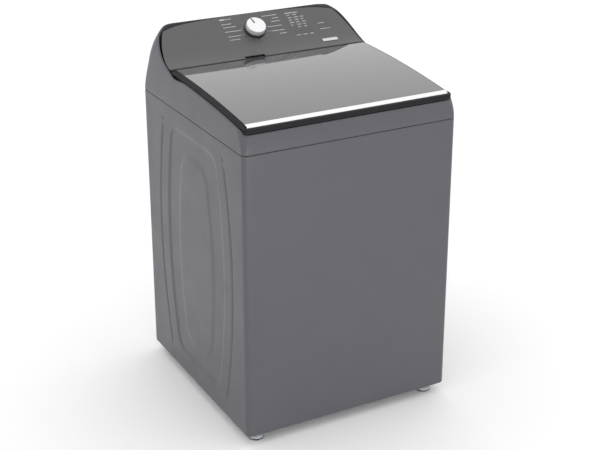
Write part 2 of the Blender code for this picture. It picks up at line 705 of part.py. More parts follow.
# ------------------------------------------------------------------ tub, basket and agitator
def make_tub():
    """Outer tub with a hub and four ears for the rods, and the splash ring on its rim."""
    wall = 0.0040
    profile = [(TUB_R, TUB_Z1), (TUB_R - 0.004, TUB_Z0 + 0.060), (TUB_R - 0.030, TUB_Z0 + 0.012),
               (TUB_R - 0.060, TUB_Z0), (0.060, TUB_Z0), (0.060, TUB_Z0 - 0.010), (0.034, TUB_Z0 - 0.010),
               (0.034, TUB_Z0 + 0.030), (0.060, TUB_Z0 + 0.030), (0.070, TUB_Z0 + wall),
               (TUB_R - 0.062, TUB_Z0 + wall), (TUB_R - 0.033, TUB_Z0 + 0.016), (TUB_R - 0.008, TUB_Z0 + 0.061),
               (TUB_R - wall, TUB_Z1)]
    tub = turned("outer_tub", profile, "white_plastic", (0, TUB_Y, 0), ring=True)
    for number, (sx, sy) in enumerate(((-1, -1), (1, -1), (1, 1), (-1, 1))):
        heading = math.atan2(sy, sx)
        reach = ROD_OFFSET * math.sqrt(2)
        ear = block(f"tub_ear_{number}", (0.2765, -0.026, -0.018), (reach + 0.020, 0.026, 0.018), None)
        middle = (0.2765 + reach + 0.020) / 2
        ear.matrix_world = (Matrix.Translation((0, TUB_Y, EAR_Z + 0.040)) @ Matrix.Rotation(heading, 4, 'Z')
                            @ Matrix.Translation((middle, 0, 0)))
        join(tub, ear)
        x, y = rod_place(sx, sy)
        cut(tub, cylinder(f"ear_hole_{number}", (x, y, EAR_Z), (x, y, EAR_Z + 0.08), 0.0065, None, steps=16))
    cut(tub, cylinder("tub_drain_hole", (PUMP_X, PUMP_Y, TUB_Z0 - 0.01), (PUMP_X, PUMP_Y, TUB_Z0 + 0.02), 0.013, None))
    ring = [(TUB_R + 0.006, TUB_Z1 + 0.012), (TUB_R + 0.006, TUB_Z1 - 0.014), (TUB_R + 0.002, TUB_Z1 - 0.014),
            (TUB_R + 0.002, TUB_Z1 + 0.004), (TUB_R - 0.012, TUB_Z1 + 0.006), (0.244, TUB_Z1 + 0.020),
            (0.242, TUB_Z1 + 0.012), (0.239, TUB_Z1 + 0.012), (0.240, TUB_Z1 + 0.024), (TUB_R - 0.010, TUB_Z1 + 0.012)]
    turned("tub_ring", ring, "white_plastic", (0, TUB_Y, 0), ring=True)
    return tub


def rod_place(sx, sy):
    return sx * ROD_OFFSET, TUB_Y + sy * ROD_OFFSET


def make_basket():
    """Spinning basket with its hub, and the balance ring round its mouth."""
    wall = 0.0015
    profile = [(BASKET_R, BASKET_Z1), (BASKET_R, BASKET_Z0 + 0.030), (BASKET_R - 0.020, BASKET_Z0),
               (0.070, BASKET_Z0 - 0.012), (0.0310, BASKET_Z0 - 0.012), (0.0310, BASKET_Z0 + 0.006),
               (0.040, BASKET_Z0 + 0.006), (0.042, BASKET_Z0 - 0.009), (0.071, BASKET_Z0 - 0.009),
               (BASKET_R - 0.021, BASKET_Z0 + 0.003), (BASKET_R - 0.003, BASKET_Z0 + 0.031),
               (BASKET_R - wall, BASKET_Z0 + 0.036), (BASKET_R - wall, BASKET_Z1)]
    turned("basket", profile, "stainless", (0, TUB_Y, 0), ring=True)
    top = BASKET_Z1 + 0.0185
    ring = [(BASKET_R + 0.004, top - 0.006), (BASKET_R + 0.004, BASKET_Z1 - 0.012), (BASKET_R + 0.0008, BASKET_Z1 - 0.012),
            (BASKET_R + 0.0008, BASKET_Z1 + 0.0006), (BASKET_R - 0.0023, BASKET_Z1 + 0.0006),
            (BASKET_R - 0.0023, BASKET_Z1 - 0.022), (0.238, BASKET_Z1 - 0.016), (0.234, BASKET_Z1 - 0.004),
            (0.235, top - 0.010), (0.246, top - 0.002), (BASKET_R - 0.002, top - 0.002)]
    turned("balance_ring", ring, "grey_plastic", (0, TUB_Y, 0), ring=True)


AGITATOR_Z0 = BASKET_Z0 + 0.0085
AGITATOR_TOP = 0.800


def make_agitator():
    """Agitator: a flared skirt and post with four fins and a spiral of vanes, and a cap."""
    z0 = AGITATOR_Z0
    profile = [(0.0, AGITATOR_TOP), (0.041, AGITATOR_TOP), (0.043, 0.700), (0.047, 0.590), (0.056, 0.510),
               (0.085, 0.462), (0.150, z0 + 0.014), (0.172, z0 + 0.006), (0.174, z0), (0.169, z0), (0.146, z0 + 0.008),
               (0.080, 0.456), (0.050, 0.490), (0.036, 0.480), (0.034, z0), (0.0260, z0), (0.0260, z0 + 0.020),
               (0.0, z0 + 0.020)]
    post = turned("agitator", profile, "grey_plastic", (0, TUB_Y, 0), steps=32)
    for number in range(4):
        fin = flat_shape(f"agitator_fin_{number}", [(0.030, 0.008), (0.168, 0.008), (0.160, 0.045), (0.120, 0.075),
                                                    (0.075, 0.130), (0.050, 0.220), (0.030, 0.240)],
                         -0.0035, 0.0035, None)
        fin.matrix_world = (Matrix.Translation((0, TUB_Y, z0)) @ Matrix.Rotation(pi / 4 + number * pi / 2, 4, 'Z')
                            @ Matrix.Rotation(pi / 2, 4, 'X'))
        join(post, fin)
    cap = [(0.0, AGITATOR_TOP + 0.022), (0.020, AGITATOR_TOP + 0.021), (0.036, AGITATOR_TOP + 0.015),
           (0.042, AGITATOR_TOP + 0.006), (0.042, AGITATOR_TOP + 0.0005), (0.0, AGITATOR_TOP + 0.0005)]
    turned("agitator_cap", cap, "blue_plastic", (0, TUB_Y, 0), steps=32)


# ------------------------------------------------------------------ drive
def belt_outline(offset):
    """The belt's path round both pulleys, offset outwards from their rims."""
    big, small = PULLEY_R + offset, MOTOR_PULLEY_R + offset
    span = MOTOR_Y - TUB_Y
    wrap = math.acos((PULLEY_R - MOTOR_PULLEY_R) / span)
    points = []
    for step in range(25):
        angle = pi / 2 + wrap + (2 * pi - 2 * wrap) * step / 24
        points.append((big * cos(angle), TUB_Y + big * sin(angle)))
    for step in range(9):
        angle = pi / 2 - wrap + 2 * wrap * step / 8
        points.append((MOTOR_X + small * cos(angle), MOTOR_Y + small * sin(angle)))
    return points


def make_drive():
    """Shaft, bearing, gearcase, pulleys, belt, motor and shifter under the tub."""
    turned("drive_shaft", [(0.0, 0.425), (0.0215, 0.425), (0.0215, AGITATOR_Z0 - 0.020), (0.0290, AGITATOR_Z0 - 0.021),
                           (0.0290, BASKET_Z0 - 0.0125), (0.0145, BASKET_Z0 - 0.020), (0.0145, PULLEY_Z + 0.009),
                           (0.0095, PULLEY_Z + 0.009), (0.0095, PULLEY_Z - 0.012), (0.0, PULLEY_Z - 0.012)],
           "galvanised", (0, TUB_Y, 0), steps=24)
    turned("shaft_bearing", [(0.0335, TUB_Z0 + 0.026), (0.0335, TUB_Z0 - 0.002), (0.0150, TUB_Z0 - 0.002),
                             (0.0150, TUB_Z0 + 0.026)], "galvanised", (0, TUB_Y, 0), steps=24, ring=True)
    case = turned("gearcase", [(0.075, TUB_Z0 - 0.0105), (0.075, TUB_Z0 - 0.0180), (0.058, TUB_Z0 - 0.022),
                               (0.056, 0.225), (0.046, 0.214), (0.0150, 0.214), (0.0150, TUB_Z0 - 0.0105)],
                  "cast_aluminium", (0, TUB_Y, 0), steps=32, ring=True)
    arm = block("motor_arm", (-0.050, 0.020, TUB_Z0 - 0.0185), (0.050, MOTOR_Y + 0.070, TUB_Z0 - 0.0125), None)
    join(case, arm)

    rim, web, hub, bore = PULLEY_R - 0.0080, 0.0020, 0.0190, 0.0099
    turned("drive_pulley", [(PULLEY_R, PULLEY_Z + 0.0080), (PULLEY_R, PULLEY_Z - 0.0080), (rim, PULLEY_Z - 0.0080),
                            (rim, PULLEY_Z - web), (hub, PULLEY_Z - web), (hub, PULLEY_Z - 0.0080),
                            (bore, PULLEY_Z - 0.0080), (bore, PULLEY_Z + 0.0080), (hub, PULLEY_Z + 0.0080),
                            (hub, PULLEY_Z + web), (rim, PULLEY_Z + web), (rim, PULLEY_Z + 0.0080)],
           "cast_aluminium", (0, TUB_Y, 0), ring=True)
    belt = flat_shape("drive_belt", belt_outline(0.0028), PULLEY_Z - 0.0050, PULLEY_Z + 0.0050, "rubber")
    cut(belt, flat_shape("belt_inside", belt_outline(0.0004), PULLEY_Z - 0.02, PULLEY_Z + 0.02, None))

    motor_top = TUB_Z0 - 0.0190
    turned("drive_motor", [(0.0, motor_top), (0.058, motor_top), (0.064, motor_top - 0.006), (0.064, motor_top - 0.095),
                           (0.058, motor_top - 0.101), (0.020, motor_top - 0.104), (0.0, motor_top - 0.104)],
           "galvanised", (MOTOR_X, MOTOR_Y, 0), steps=32)
    shaft_top = motor_top - 0.1046
    turned("motor_pulley", [(0.0, shaft_top), (0.0060, shaft_top), (0.0060, PULLEY_Z + 0.0090),
                            (MOTOR_PULLEY_R, PULLEY_Z + 0.0085), (MOTOR_PULLEY_R, PULLEY_Z - 0.0085),
                            (0.0, PULLEY_Z - 0.0085)], "galvanised", (MOTOR_X, MOTOR_Y, 0), steps=24)

    shifter_y = TUB_Y - 0.075
    body = block("shift_actuator", (0.030, shifter_y - 0.030, 0.262), (0.086, shifter_y + 0.006, 0.318),
                 "black_plastic", bevel=0.002)
    body.location.x = 0.058
    block("shift_lever", (0.046, shifter_y - 0.006, 0.232), (0.054, shifter_y + 0.0015, 0.2615), "galvanised",
          bevel=0.001)
    return case


# ------------------------------------------------------------------ pump
PUMP_X, PUMP_Y, PUMP_Z = 0.165, -0.160, 0.250


def make_pump():
    """Drain pump: a volute with an inlet in its roof, an outlet spout, and the impeller inside."""
    place = (PUMP_X, PUMP_Y, PUMP_Z)
    pump = turned("drain_pump", [(0.0135, 0.094), (0.0180, 0.094), (0.0180, 0.036), (0.0460, 0.032),
                                 (0.0480, 0.028), (0.0480, 0.0), (0.0340, -0.004), (0.0340, -0.060), (0.0, -0.060),
                                 (0.0, 0.003), (0.0440, 0.003), (0.0440, 0.029), (0.0135, 0.032)],
                  "black_plastic", place, steps=28, ring=True)
    spout = cylinder("pump_spout", (PUMP_X + 0.030, PUMP_Y - 0.033, PUMP_Z + 0.016),
                     (PUMP_X + 0.080, PUMP_Y - 0.033, PUMP_Z + 0.016), 0.0125, None, steps=16)
    hollow = cylinder("pump_spout_bore", (PUMP_X + 0.010, PUMP_Y - 0.033, PUMP_Z + 0.016),
                      (PUMP_X + 0.090, PUMP_Y - 0.033, PUMP_Z + 0.016), 0.0095, None, steps=16)
    join(pump, spout)
    cut(pump, hollow)
    impeller = turned("pump_impeller", [(0.0, 0.0240), (0.0070, 0.0240), (0.0090, 0.0100), (0.0220, 0.0060),
                                        (0.0220, 0.0040), (0.0, 0.0040)], "grey_plastic", place, steps=20)
    for number in range(3):
        vane = block(f"impeller_vane_{number}", (-0.0200, -0.0012, -0.0080), (0.0200, 0.0012, 0.0080), None)
        vane.matrix_world = (Matrix.Translation(Vector(place) + Vector((0, 0, 0.0135)))
                             @ Matrix.Rotation(number * pi / 3, 4, 'Z'))
        join(impeller, vane)


# ------------------------------------------------------------------ suspension
SPRING_LOW = 0.262          # lower seat of the springs, on the rods
SPRING_TOP = EAR_Z + 0.0215  # under the tub's ears


def make_suspension():
    """Four rods from the cabinet's corners, each with a seat, carrying the tub on a coil spring."""
    for name, (sx, sy) in zip(FOOT_NAMES, ((-1, -1), (1, -1), (-1, 1), (1, 1))):
        x, y = rod_place(sx, sy)
        turned(f"suspension_rod_{name}", [(0.0, 0.892), (0.008, 0.889), (0.010, 0.882), (0.0085, 0.8765),
                                          (ROD_R, 0.8765), (ROD_R, SPRING_LOW), (0.021, SPRING_LOW - 0.001),
                                          (0.021, SPRING_LOW - 0.005), (0.006, SPRING_LOW - 0.010), (0.0, SPRING_LOW - 0.010)],
               "galvanised", (x, y, 0.0), steps=12)
        turns, per_turn, wire, coil_r = 4, 8, 0.0020, 0.0150
        low, high = SPRING_LOW + wire + 0.001, SPRING_TOP - wire - 0.001
        points = []
        for step in range(turns * per_turn + 1):
            angle = 2 * pi * step / per_turn
            points.append((x + coil_r * cos(angle), y + coil_r * sin(angle),
                           low + (high - low) * step / (turns * per_turn)))
        tube(f"suspension_spring_{name}", points, wire, "spring_steel", resolution=0)


# ------------------------------------------------------------------ build everything
def build():
    make_cabinet()
    make_rear_panel()
    make_base_frame()
    make_feet()
    make_top_panel()
    make_fascia()
    make_console_parts()
    make_lid()
    make_hinges()
    make_deck_fittings()
    make_lid_strike()
    make_tub()
    make_basket()
    make_agitator()
    make_drive()
    make_pump()
    make_suspension()


build()
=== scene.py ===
# %% [markdown]
# # A top load washing machine
# This lesson dresses a packed mechanical model of a top load washing machine. The model already has
# the right size and joints. Here each piece that a person can see gets a finer shape and a finish.
# The machine stands on the floor at the middle of the frame, with its front towards -Y and Z up.

# %% Load the frame
import math
import random

import bmesh
import bpy
import numpy as np
from mathutils import Matrix, Vector


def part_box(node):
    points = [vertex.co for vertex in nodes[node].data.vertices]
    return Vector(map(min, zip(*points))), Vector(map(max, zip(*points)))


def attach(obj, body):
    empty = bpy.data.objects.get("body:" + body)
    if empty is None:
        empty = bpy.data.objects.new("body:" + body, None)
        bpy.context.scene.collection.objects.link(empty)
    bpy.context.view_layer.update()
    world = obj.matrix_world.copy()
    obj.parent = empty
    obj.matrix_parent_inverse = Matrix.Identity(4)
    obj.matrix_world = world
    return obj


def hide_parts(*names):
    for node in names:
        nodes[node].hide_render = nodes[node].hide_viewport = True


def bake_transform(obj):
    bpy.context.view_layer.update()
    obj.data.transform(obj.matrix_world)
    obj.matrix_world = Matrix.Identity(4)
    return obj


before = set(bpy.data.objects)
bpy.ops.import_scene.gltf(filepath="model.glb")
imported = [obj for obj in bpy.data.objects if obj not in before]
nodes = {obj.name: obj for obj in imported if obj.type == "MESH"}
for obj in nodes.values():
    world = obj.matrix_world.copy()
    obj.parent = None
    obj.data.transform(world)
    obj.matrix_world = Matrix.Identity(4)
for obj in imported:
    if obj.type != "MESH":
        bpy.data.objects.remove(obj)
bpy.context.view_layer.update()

# %% [markdown]
# ## The camera
# A tall machine is best seen from just above it and to its left, with a long lens, so that the upright
# edges stay nearly parallel. A short lens would make the lid look too large for the cabinet. The small
# downward shift frames the whole machine without tilting the camera further.

# %% Camera
camera_data = bpy.data.cameras.new("camera")
camera_data.sensor_width = 36.0
camera_data.lens = 80.08
camera_data.shift_y = -0.0417
camera = bpy.data.objects.new("camera", camera_data)
bpy.context.scene.collection.objects.link(camera)
camera.location = (-1.8278, -3.4160, 2.1950)
camera.rotation_euler = (math.radians(90 - 22.353), 0.0, math.radians(-28.393))
bpy.context.scene.camera = camera
print("camera at", tuple(round(value, 3) for value in camera.location))

# %% [markdown]
# ## Light and floor
# The light is a plain studio: a white surround that reaches every side, a broad soft box from the
# front left and a second one overhead. The floor is a pale sheet that keeps only a soft shadow.

# %% Studio
world = bpy.data.worlds.new("studio")
bpy.context.scene.world = world
world.use_nodes = True
surround = world.node_tree.nodes["Background"]
surround.inputs["Color"].default_value = (1.0, 1.0, 1.0, 1.0)
surround.inputs["Strength"].default_value = 1.05
# The standard transform shows each finish in the colour that its hex value gives.
bpy.context.scene.view_settings.view_transform = 'Standard'


def soft_box(name, place, aim, size, watts):
    """A rectangular area lamp at a place, turned towards a point."""
    lamp = bpy.data.lights.new(name, 'AREA')
    lamp.shape = 'RECTANGLE'
    lamp.size, lamp.size_y = size
    lamp.energy = watts
    obj = bpy.data.objects.new(name, lamp)
    bpy.context.scene.collection.objects.link(obj)
    obj.location = place
    obj.rotation_euler = (Vector(aim) - Vector(place)).to_track_quat('-Z', 'Y').to_euler()
    return obj


soft_box("front_box", (-0.2, -3.4, 0.3), (-0.2, -0.3, 0.2), (1.6, 1.0), 24)
soft_box("top_box", (0.4, 0.6, 3.2), (0.0, 0.0, 0.9), (2.6, 2.2), 7)
print(len(bpy.data.lights), "soft boxes and a white surround")

# %% [markdown]
# ## Adding a shader node
# Every finish below is a Principled shader with a few texture nodes in front of it. One function adds
# a node, sets its own options, and fills each input with a value or with another node's output.

# %% Node and colour helpers
def add(tree, kind, options=None, inputs=None):
    """Add one node with its options, and set or link its inputs."""
    node = tree.nodes.new(kind)
    for key, value in (options or {}).items():
        setattr(node, key, value)
    for key, value in (inputs or {}).items():
        if isinstance(value, bpy.types.NodeSocket):
            tree.links.new(value, node.inputs[key])
        else:
            node.inputs[key].default_value = value
    return node


def linear(hex_colour):
    """Linear red, green, blue and alpha from an sRGB hex colour."""
    values = [int(hex_colour[i:i + 2], 16) / 255 for i in (1, 3, 5)]
    return tuple(v / 12.92 if v <= 0.04045 else ((v + 0.055) / 1.055) ** 2.4 for v in values) + (1.0,)


def per_metre(millimetres):
    """The texture scale that gives features of that size, since every object is in metres."""
    return 1000.0 / millimetres


print("mid grey is", round(linear("#808080")[0], 3), "in linear light")

# %% [markdown]
# ## Finishes
# A real surface is never one flat value. Each finish starts from the real material and how it was
# made, and then gets two small variations: a faint mottle in colour and roughness, at the size that
# the process leaves, and a shallow bump for its grain. The real grain of paint, plastic and metal is
# mostly finer than 0.3 mm. It is drawn at 0.5 mm or more, coarser than real, so that it shows at all
# from where the whole machine is seen.

# %% A finish with mottle and grain
def finish(name, colour, roughness, metallic=0.0, ior=1.5, tone=0.06, mottle_mm=40, rough_spread=0.05,
           grain_mm=1.0, grain_depth_mm=0.01, stretch=(1, 1, 1), coat=0.0, coat_roughness=0.1):
    """A Principled material whose colour, roughness and grain vary a little over the surface."""
    made = bpy.data.materials.new(name)
    made.use_nodes = True
    tree = made.node_tree
    shader = tree.nodes["Principled BSDF"]
    shader.inputs["Metallic"].default_value = metallic
    shader.inputs["Coat Weight"].default_value = coat
    shader.inputs["Coat Roughness"].default_value = coat_roughness
    if metallic < 0.5:
        shader.inputs["IOR"].default_value = ior
    place = add(tree, "ShaderNodeTexCoord")
    spread = add(tree, "ShaderNodeMapping", None, {"Vector": place.outputs["Object"], "Scale": stretch})
    cloud = add(tree, "ShaderNodeTexNoise", None, {"Vector": spread.outputs["Vector"],
                                                   "Scale": per_metre(mottle_mm), "Detail": 3.0})
    base = linear(colour)
    ramp = add(tree, "ShaderNodeValToRGB", None, {"Fac": cloud.outputs["Fac"]})
    ramp.color_ramp.elements[0].position, ramp.color_ramp.elements[1].position = 0.3, 0.7
    ramp.color_ramp.elements[0].color = tuple(c * (1 - tone) for c in base[:3]) + (1.0,)
    ramp.color_ramp.elements[1].color = tuple(min(c * (1 + tone), 1.0) for c in base[:3]) + (1.0,)
    tree.links.new(ramp.outputs["Color"], shader.inputs["Base Color"])
    sheen = add(tree, "ShaderNodeMapRange", None, {
        "Value": cloud.outputs["Fac"], "From Min": 0.3, "From Max": 0.7,
        "To Min": max(roughness - rough_spread, 0.02), "To Max": roughness + rough_spread})
    tree.links.new(sheen.outputs["Result"], shader.inputs["Roughness"])
    grain = add(tree, "ShaderNodeTexNoise", None, {"Vector": spread.outputs["Vector"],
                                                   "Scale": per_metre(grain_mm), "Detail": 2.0})
    bump = add(tree, "ShaderNodeBump", None, {"Height": grain.outputs["Fac"], "Strength": 0.6,
                                              "Distance": grain_depth_mm / 1000})
    tree.links.new(bump.outputs["Normal"], shader.inputs["Normal"])
    return made


print("every finish gets a mottle and a grain, and some get a clear coat")

# %% [markdown]
# ## Painted and moulded finishes
# Paint and plastic are both clear binders full of pigment. They differ to the eye in their gloss and
# in the relief that spraying or the mould leaves, so those are the values that change between them.

# %% Paint
# Baked acrylic enamel on steel sheet. The paint flows before it sets, which leaves an orange peel
# about 2 mm across: the eye gets a satin sheet with soft, slightly wavy highlights.
enamel = finish("graphite_enamel_on_steel", "#545359", 0.38, ior=1.40, tone=0.02, mottle_mm=90,
                grain_mm=2.2, grain_depth_mm=0.012, coat=0.06, coat_roughness=0.14)
# Painted ABS with a fine satin grain: an even charcoal whose highlight is broad and dim.
console_abs = finish("charcoal_painted_abs", "#505051", 0.38, ior=1.48, tone=0.03, mottle_mm=60,
                     grain_mm=1.2, grain_depth_mm=0.006, coat=0.05, coat_roughness=0.2)
# Matt dark paint on the lid frame: it stays nearly black from every side and outlines the glass.
lid_abs = finish("dark_grey_painted_lid_frame", "#1e1e21", 0.58, ior=1.30, tone=0.04, grain_mm=1.5,
                 grain_depth_mm=0.006)
# Silver paint under clear lacquer: small flakes make it bright, and the lacquer adds a crisp edge.
knob_paint = finish("silver_painted_knob", "#e3e4e6", 0.30, metallic=0.25, tone=0.02, grain_mm=0.8,
                    grain_depth_mm=0.004, coat=0.3)
# Screen ink: a matt film that stands out from the satin panel by its flat, even tone.
white_ink = finish("white_screen_ink", "#cfcfd0", 0.5, tone=0.02, grain_depth_mm=0.002)
grey_ink = finish("grey_screen_ink", "#9b9b9d", 0.5, tone=0.02, grain_depth_mm=0.002)
# Solder mask is a glossy varnish over copper tracks, seen as green that darkens in small patches.
board_green = finish("green_solder_mask", "#1f6b3c", 0.35, ior=1.55, tone=0.15, mottle_mm=4)
print(len(bpy.data.materials), "materials so far")

# %% Moulded plastic and rubber
# ABS from a spark-textured mould: black with a fine, even grain that spreads its highlights.
black_abs = finish("black_moulded_abs", "#26262a", 0.42, ior=1.53, tone=0.08, grain_depth_mm=0.02)
# Polypropylene is waxy. Its highlights are wide and its colour is a little cloudy.
grey_pp = finish("light_grey_moulded_polypropylene", "#a9adb1", 0.46, ior=1.49, tone=0.04, grain_mm=1.4,
                 grain_depth_mm=0.02)
# The large tub mouldings are the same plastic from a coarser mould, so they look flatter.
white_pp = finish("white_moulded_polypropylene", "#d9dadb", 0.48, ior=1.49, tone=0.03, grain_mm=1.6,
                  grain_depth_mm=0.03)
# The softener cap comes from a smoother mould: a clear blue with a slightly tighter highlight.
blue_pp = finish("blue_moulded_polypropylene", "#3c5f9c", 0.40, ior=1.49, tone=0.05, grain_depth_mm=0.02)
# EPDM rubber: a dull, dusty black that shows hardly any highlight.
rubber = finish("black_epdm_rubber", "#232325", 0.68, tone=0.10, mottle_mm=15, grain_mm=0.8,
                grain_depth_mm=0.04)
print(len(bpy.data.materials), "materials so far")

# %% [markdown]
# ## Metal finishes
# A metal has no colour under its surface. All that the eye sees is its reflection, so what sets one
# metal part from another is how rough it is and which way the marks of its making run.

# %% Metals
# Polished aluminium extrusion with a clear anodised skin, drawn along X: one bright, even line whose
# fine streaks run along it.
bright_aluminium = finish("bright_anodised_aluminium", "#f2f2f3", 0.22, metallic=0.85, tone=0.02, mottle_mm=3,
                          stretch=(0.02, 1, 1), grain_mm=0.5, grain_depth_mm=0.004)
# Stamped and satin-anodised aluminium: a blank badge a little duller than the lid strip.
badge_silver = finish("satin_anodised_badge", "#c4c4c6", 0.32, metallic=0.7, tone=0.04, mottle_mm=2,
                      stretch=(0.1, 1, 1), grain_mm=0.5, grain_depth_mm=0.004)
# Drum steel, brushed round the drum: the streaks run level and are long and thin.
brushed_stainless = finish("brushed_stainless_drum", "#d3d4d6", 0.33, metallic=1.0, tone=0.05, mottle_mm=2.5,
                           stretch=(0.12, 0.12, 1), grain_mm=0.8, grain_depth_mm=0.006)
# Hot-dip zinc sets as crystals about 9 mm across, seen as light and dark flakes of one grey.
zinc_plate = finish("hot_dip_zinc_on_steel", "#a3a7a9", 0.42, metallic=0.75, tone=0.09, mottle_mm=9,
                    rough_spread=0.10, grain_mm=3.0, grain_depth_mm=0.01)
# Sand-cast aluminium keeps the sand's pits, so it is pale, rough and without clear reflections.
cast_aluminium = finish("sand_cast_aluminium", "#a8a9aa", 0.55, metallic=0.9, tone=0.10, mottle_mm=12,
                        grain_mm=0.9, grain_depth_mm=0.06)
# Drawn and oiled spring wire: dark steel with one tight highlight along each turn.
spring_wire = finish("drawn_spring_steel", "#6d6e70", 0.35, metallic=1.0, tone=0.08)
print(len(bpy.data.materials), "materials so far")

# %% [markdown]
# ## Smoked glass
# The lid is a sheet of tempered glass, tinted so that the drum only just shows. A fully clear shader
# would show the drum too plainly. So about a third of the light goes through, and the rest meets a
# dark body under a hard, mirror-smooth surface.

# %% Glass
GLASS_CLEARNESS = 0.35
glass = finish("smoked_tempered_glass", "#606163", 0.045, ior=1.62, tone=0.03, mottle_mm=180,
               rough_spread=0.01,
               grain_mm=120, grain_depth_mm=0.02, coat=0.8, coat_roughness=0.03)
glass.node_tree.nodes["Principled BSDF"].inputs["Transmission Weight"].default_value = GLASS_CLEARNESS
print("glass transmits", GLASS_CLEARNESS)

# %% [markdown]
# ## Material slots
# The mechanical model sorts its parts into material slots.

# %% [markdown]
# ## Placing a piece
# Every piece goes through one function. Sheet parts are made as a single surface and get their
# thickness here. The wall comes first, so that the sharp edges are also found on its rim and the flat
# faces stay flat.

# %% Place a piece
def place_piece(name, mesh, body, material, stands_for=(), sharp_degrees=35, thickness=0.0, outward=False):
    """Put a mesh in the scene, ride it on a body unless that is None, and give it its finish."""
    obj = bpy.data.objects.new(name, mesh)
    bpy.context.scene.collection.objects.link(obj)
    if thickness:
        wall = obj.modifiers.new("wall", 'SOLIDIFY')
        wall.thickness = thickness
        wall.offset = 1.0 if outward else -1.0
        graph = bpy.context.evaluated_depsgraph_get()
        mesh = bpy.data.meshes.new_from_object(obj.evaluated_get(graph))
        obj.modifiers.clear()
        obj.data = mesh
    mesh.materials.clear()
    mesh.materials.append(material)
    mesh.shade_smooth()
    mesh.set_sharp_from_angle(angle=math.radians(sharp_degrees))
    if body:
        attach(obj, body)
    if stands_for:
        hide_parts(*stands_for)
    return obj


print("a piece needs a mesh, a body and a finish")

# %% [markdown]
# ## Making meshes
# Three tools make almost every piece here: a grid of points joined by faces for pressed sheet, a
# profile turned round an axis for round parts, and a rounded block.

# %% Grids, turned shapes and blocks
def grid_mesh(name, rows, closed=False, cap_ends=False):
    """Rows of points joined by faces. closed joins each row's end to its start."""
    rows = np.asarray(rows, dtype=float)
    count, width = rows.shape[:2]
    faces = []
    for r in range(count - 1):
        for i in range(width if closed else width - 1):
            j = (i + 1) % width
            faces.append((r * width + i, r * width + j, (r + 1) * width + j, (r + 1) * width + i))
    if cap_ends:
        faces.append(tuple(reversed(range(width))))
        faces.append(tuple(range((count - 1) * width, count * width)))
    mesh = bpy.data.meshes.new(name)
    mesh.from_pydata([tuple(p) for p in rows.reshape(-1, 3)], [], faces)
    mesh.update()
    return mesh


def turned_mesh(name, profile, centre=(0, 0, 0), steps=64, closed=False):
    """A profile of (radius, height) turned round Z. It runs top to bottom on its outer side."""
    bm = bmesh.new()
    points = [bm.verts.new((radius, 0.0, height)) for radius, height in profile]
    pairs = list(zip(points, points[1:])) + ([(points[-1], points[0])] if closed else [])
    edges = [bm.edges.new(pair) for pair in pairs]
    bmesh.ops.spin(bm, geom=points + edges, cent=(0, 0, 0), axis=(0, 0, 1), angle=2 * math.pi, steps=steps,
                   use_merge=False, use_duplicate=False)
    bmesh.ops.remove_doubles(bm, verts=bm.verts, dist=0.000005)
    bmesh.ops.recalc_face_normals(bm, faces=bm.faces)
    bmesh.ops.translate(bm, verts=bm.verts, vec=centre)
    mesh = bpy.data.meshes.new(name)
    bm.to_mesh(mesh)
    bm.free()
    return mesh


def block_mesh(name, low, high, radius=0.001, segments=2):
    """A block between two corners with all its edges rounded."""
    low, high = Vector(low), Vector(high)
    bm = bmesh.new()
    bmesh.ops.create_cube(bm, size=1.0, matrix=Matrix.Translation((low + high) / 2)
                          @ Matrix.Diagonal((*(high - low), 1.0)))
    bmesh.ops.bevel(bm, geom=bm.edges[:], offset=radius, segments=segments, profile=0.5, affect='EDGES')
    mesh = bpy.data.meshes.new(name)
    bm.to_mesh(mesh)
    bm.free()
    return mesh


print("tools: grid, turned profile, rounded block")

# %% [markdown]
# ## Joining, moving and cutting meshes
# Small parts that repeat are joined into one piece. A window in a sheet is cut while the sheet is a
# single surface: planes slice it along the window's sides and the faces between them are deleted.
# That gives straight, clean edges where a Boolean on a thin wall often fails.

# %% Join, move and cut
def merged_mesh(name, meshes):
    """Several meshes as one, so that a row of small parts is one piece."""
    bm = bmesh.new()
    for mesh in meshes:
        bm.from_mesh(mesh)
        bpy.data.meshes.remove(mesh)
    mesh = bpy.data.meshes.new(name)
    bm.to_mesh(mesh)
    bm.free()
    return mesh


def moved(mesh, matrix):
    """The same mesh, put in a new place."""
    mesh.transform(matrix)
    return mesh


def cut_window(mesh, low, high, axes=None):
    """Open a rectangular window in a sheet before it has a thickness, in its own axes where it leans."""
    axes = axes or Matrix.Identity(4)
    low, high = Vector(low), Vector(high)
    bm = bmesh.new()
    bm.from_mesh(mesh)
    bm.transform(axes.inverted())
    for axis in range(3):
        for bound in (low[axis], high[axis]):
            near = [f for f in bm.faces
                    if all(min(v.co[k] for v in f.verts) < high[k] and max(v.co[k] for v in f.verts) > low[k]
                           for k in range(3))]
            parts = set(near) | {e for f in near for e in f.edges} | {v for f in near for v in f.verts}
            normal = Vector([1.0 if k == axis else 0.0 for k in range(3)])
            bmesh.ops.bisect_plane(bm, geom=list(parts), dist=0.00001, plane_co=normal * bound,
                                   plane_no=normal)
    inside = [f for f in bm.faces if all(low[k] < f.calc_center_median()[k] < high[k] for k in range(3))]
    bmesh.ops.delete(bm, geom=inside, context='FACES')
    bm.transform(axes)
    bm.to_mesh(mesh)
    bm.free()
    return len(inside)


def smooth_step(value):
    """A soft rise from 0 to 1, level at both ends."""
    value = np.clip(value, 0.0, 1.0)
    return value * value * (3 - 2 * value)


print("tools: join, move, cut a window")


# %% [markdown]
# ## The cabinet
# The cabinet is one steel sheet bent round the front and both sides. A large flat sheet would drum
# when the machine spins, so the sides are pressed with a barrel-shaped panel and two curved ribs.
# A height field gives these: each point of a fine grid moves inwards by the depth of the pressing.

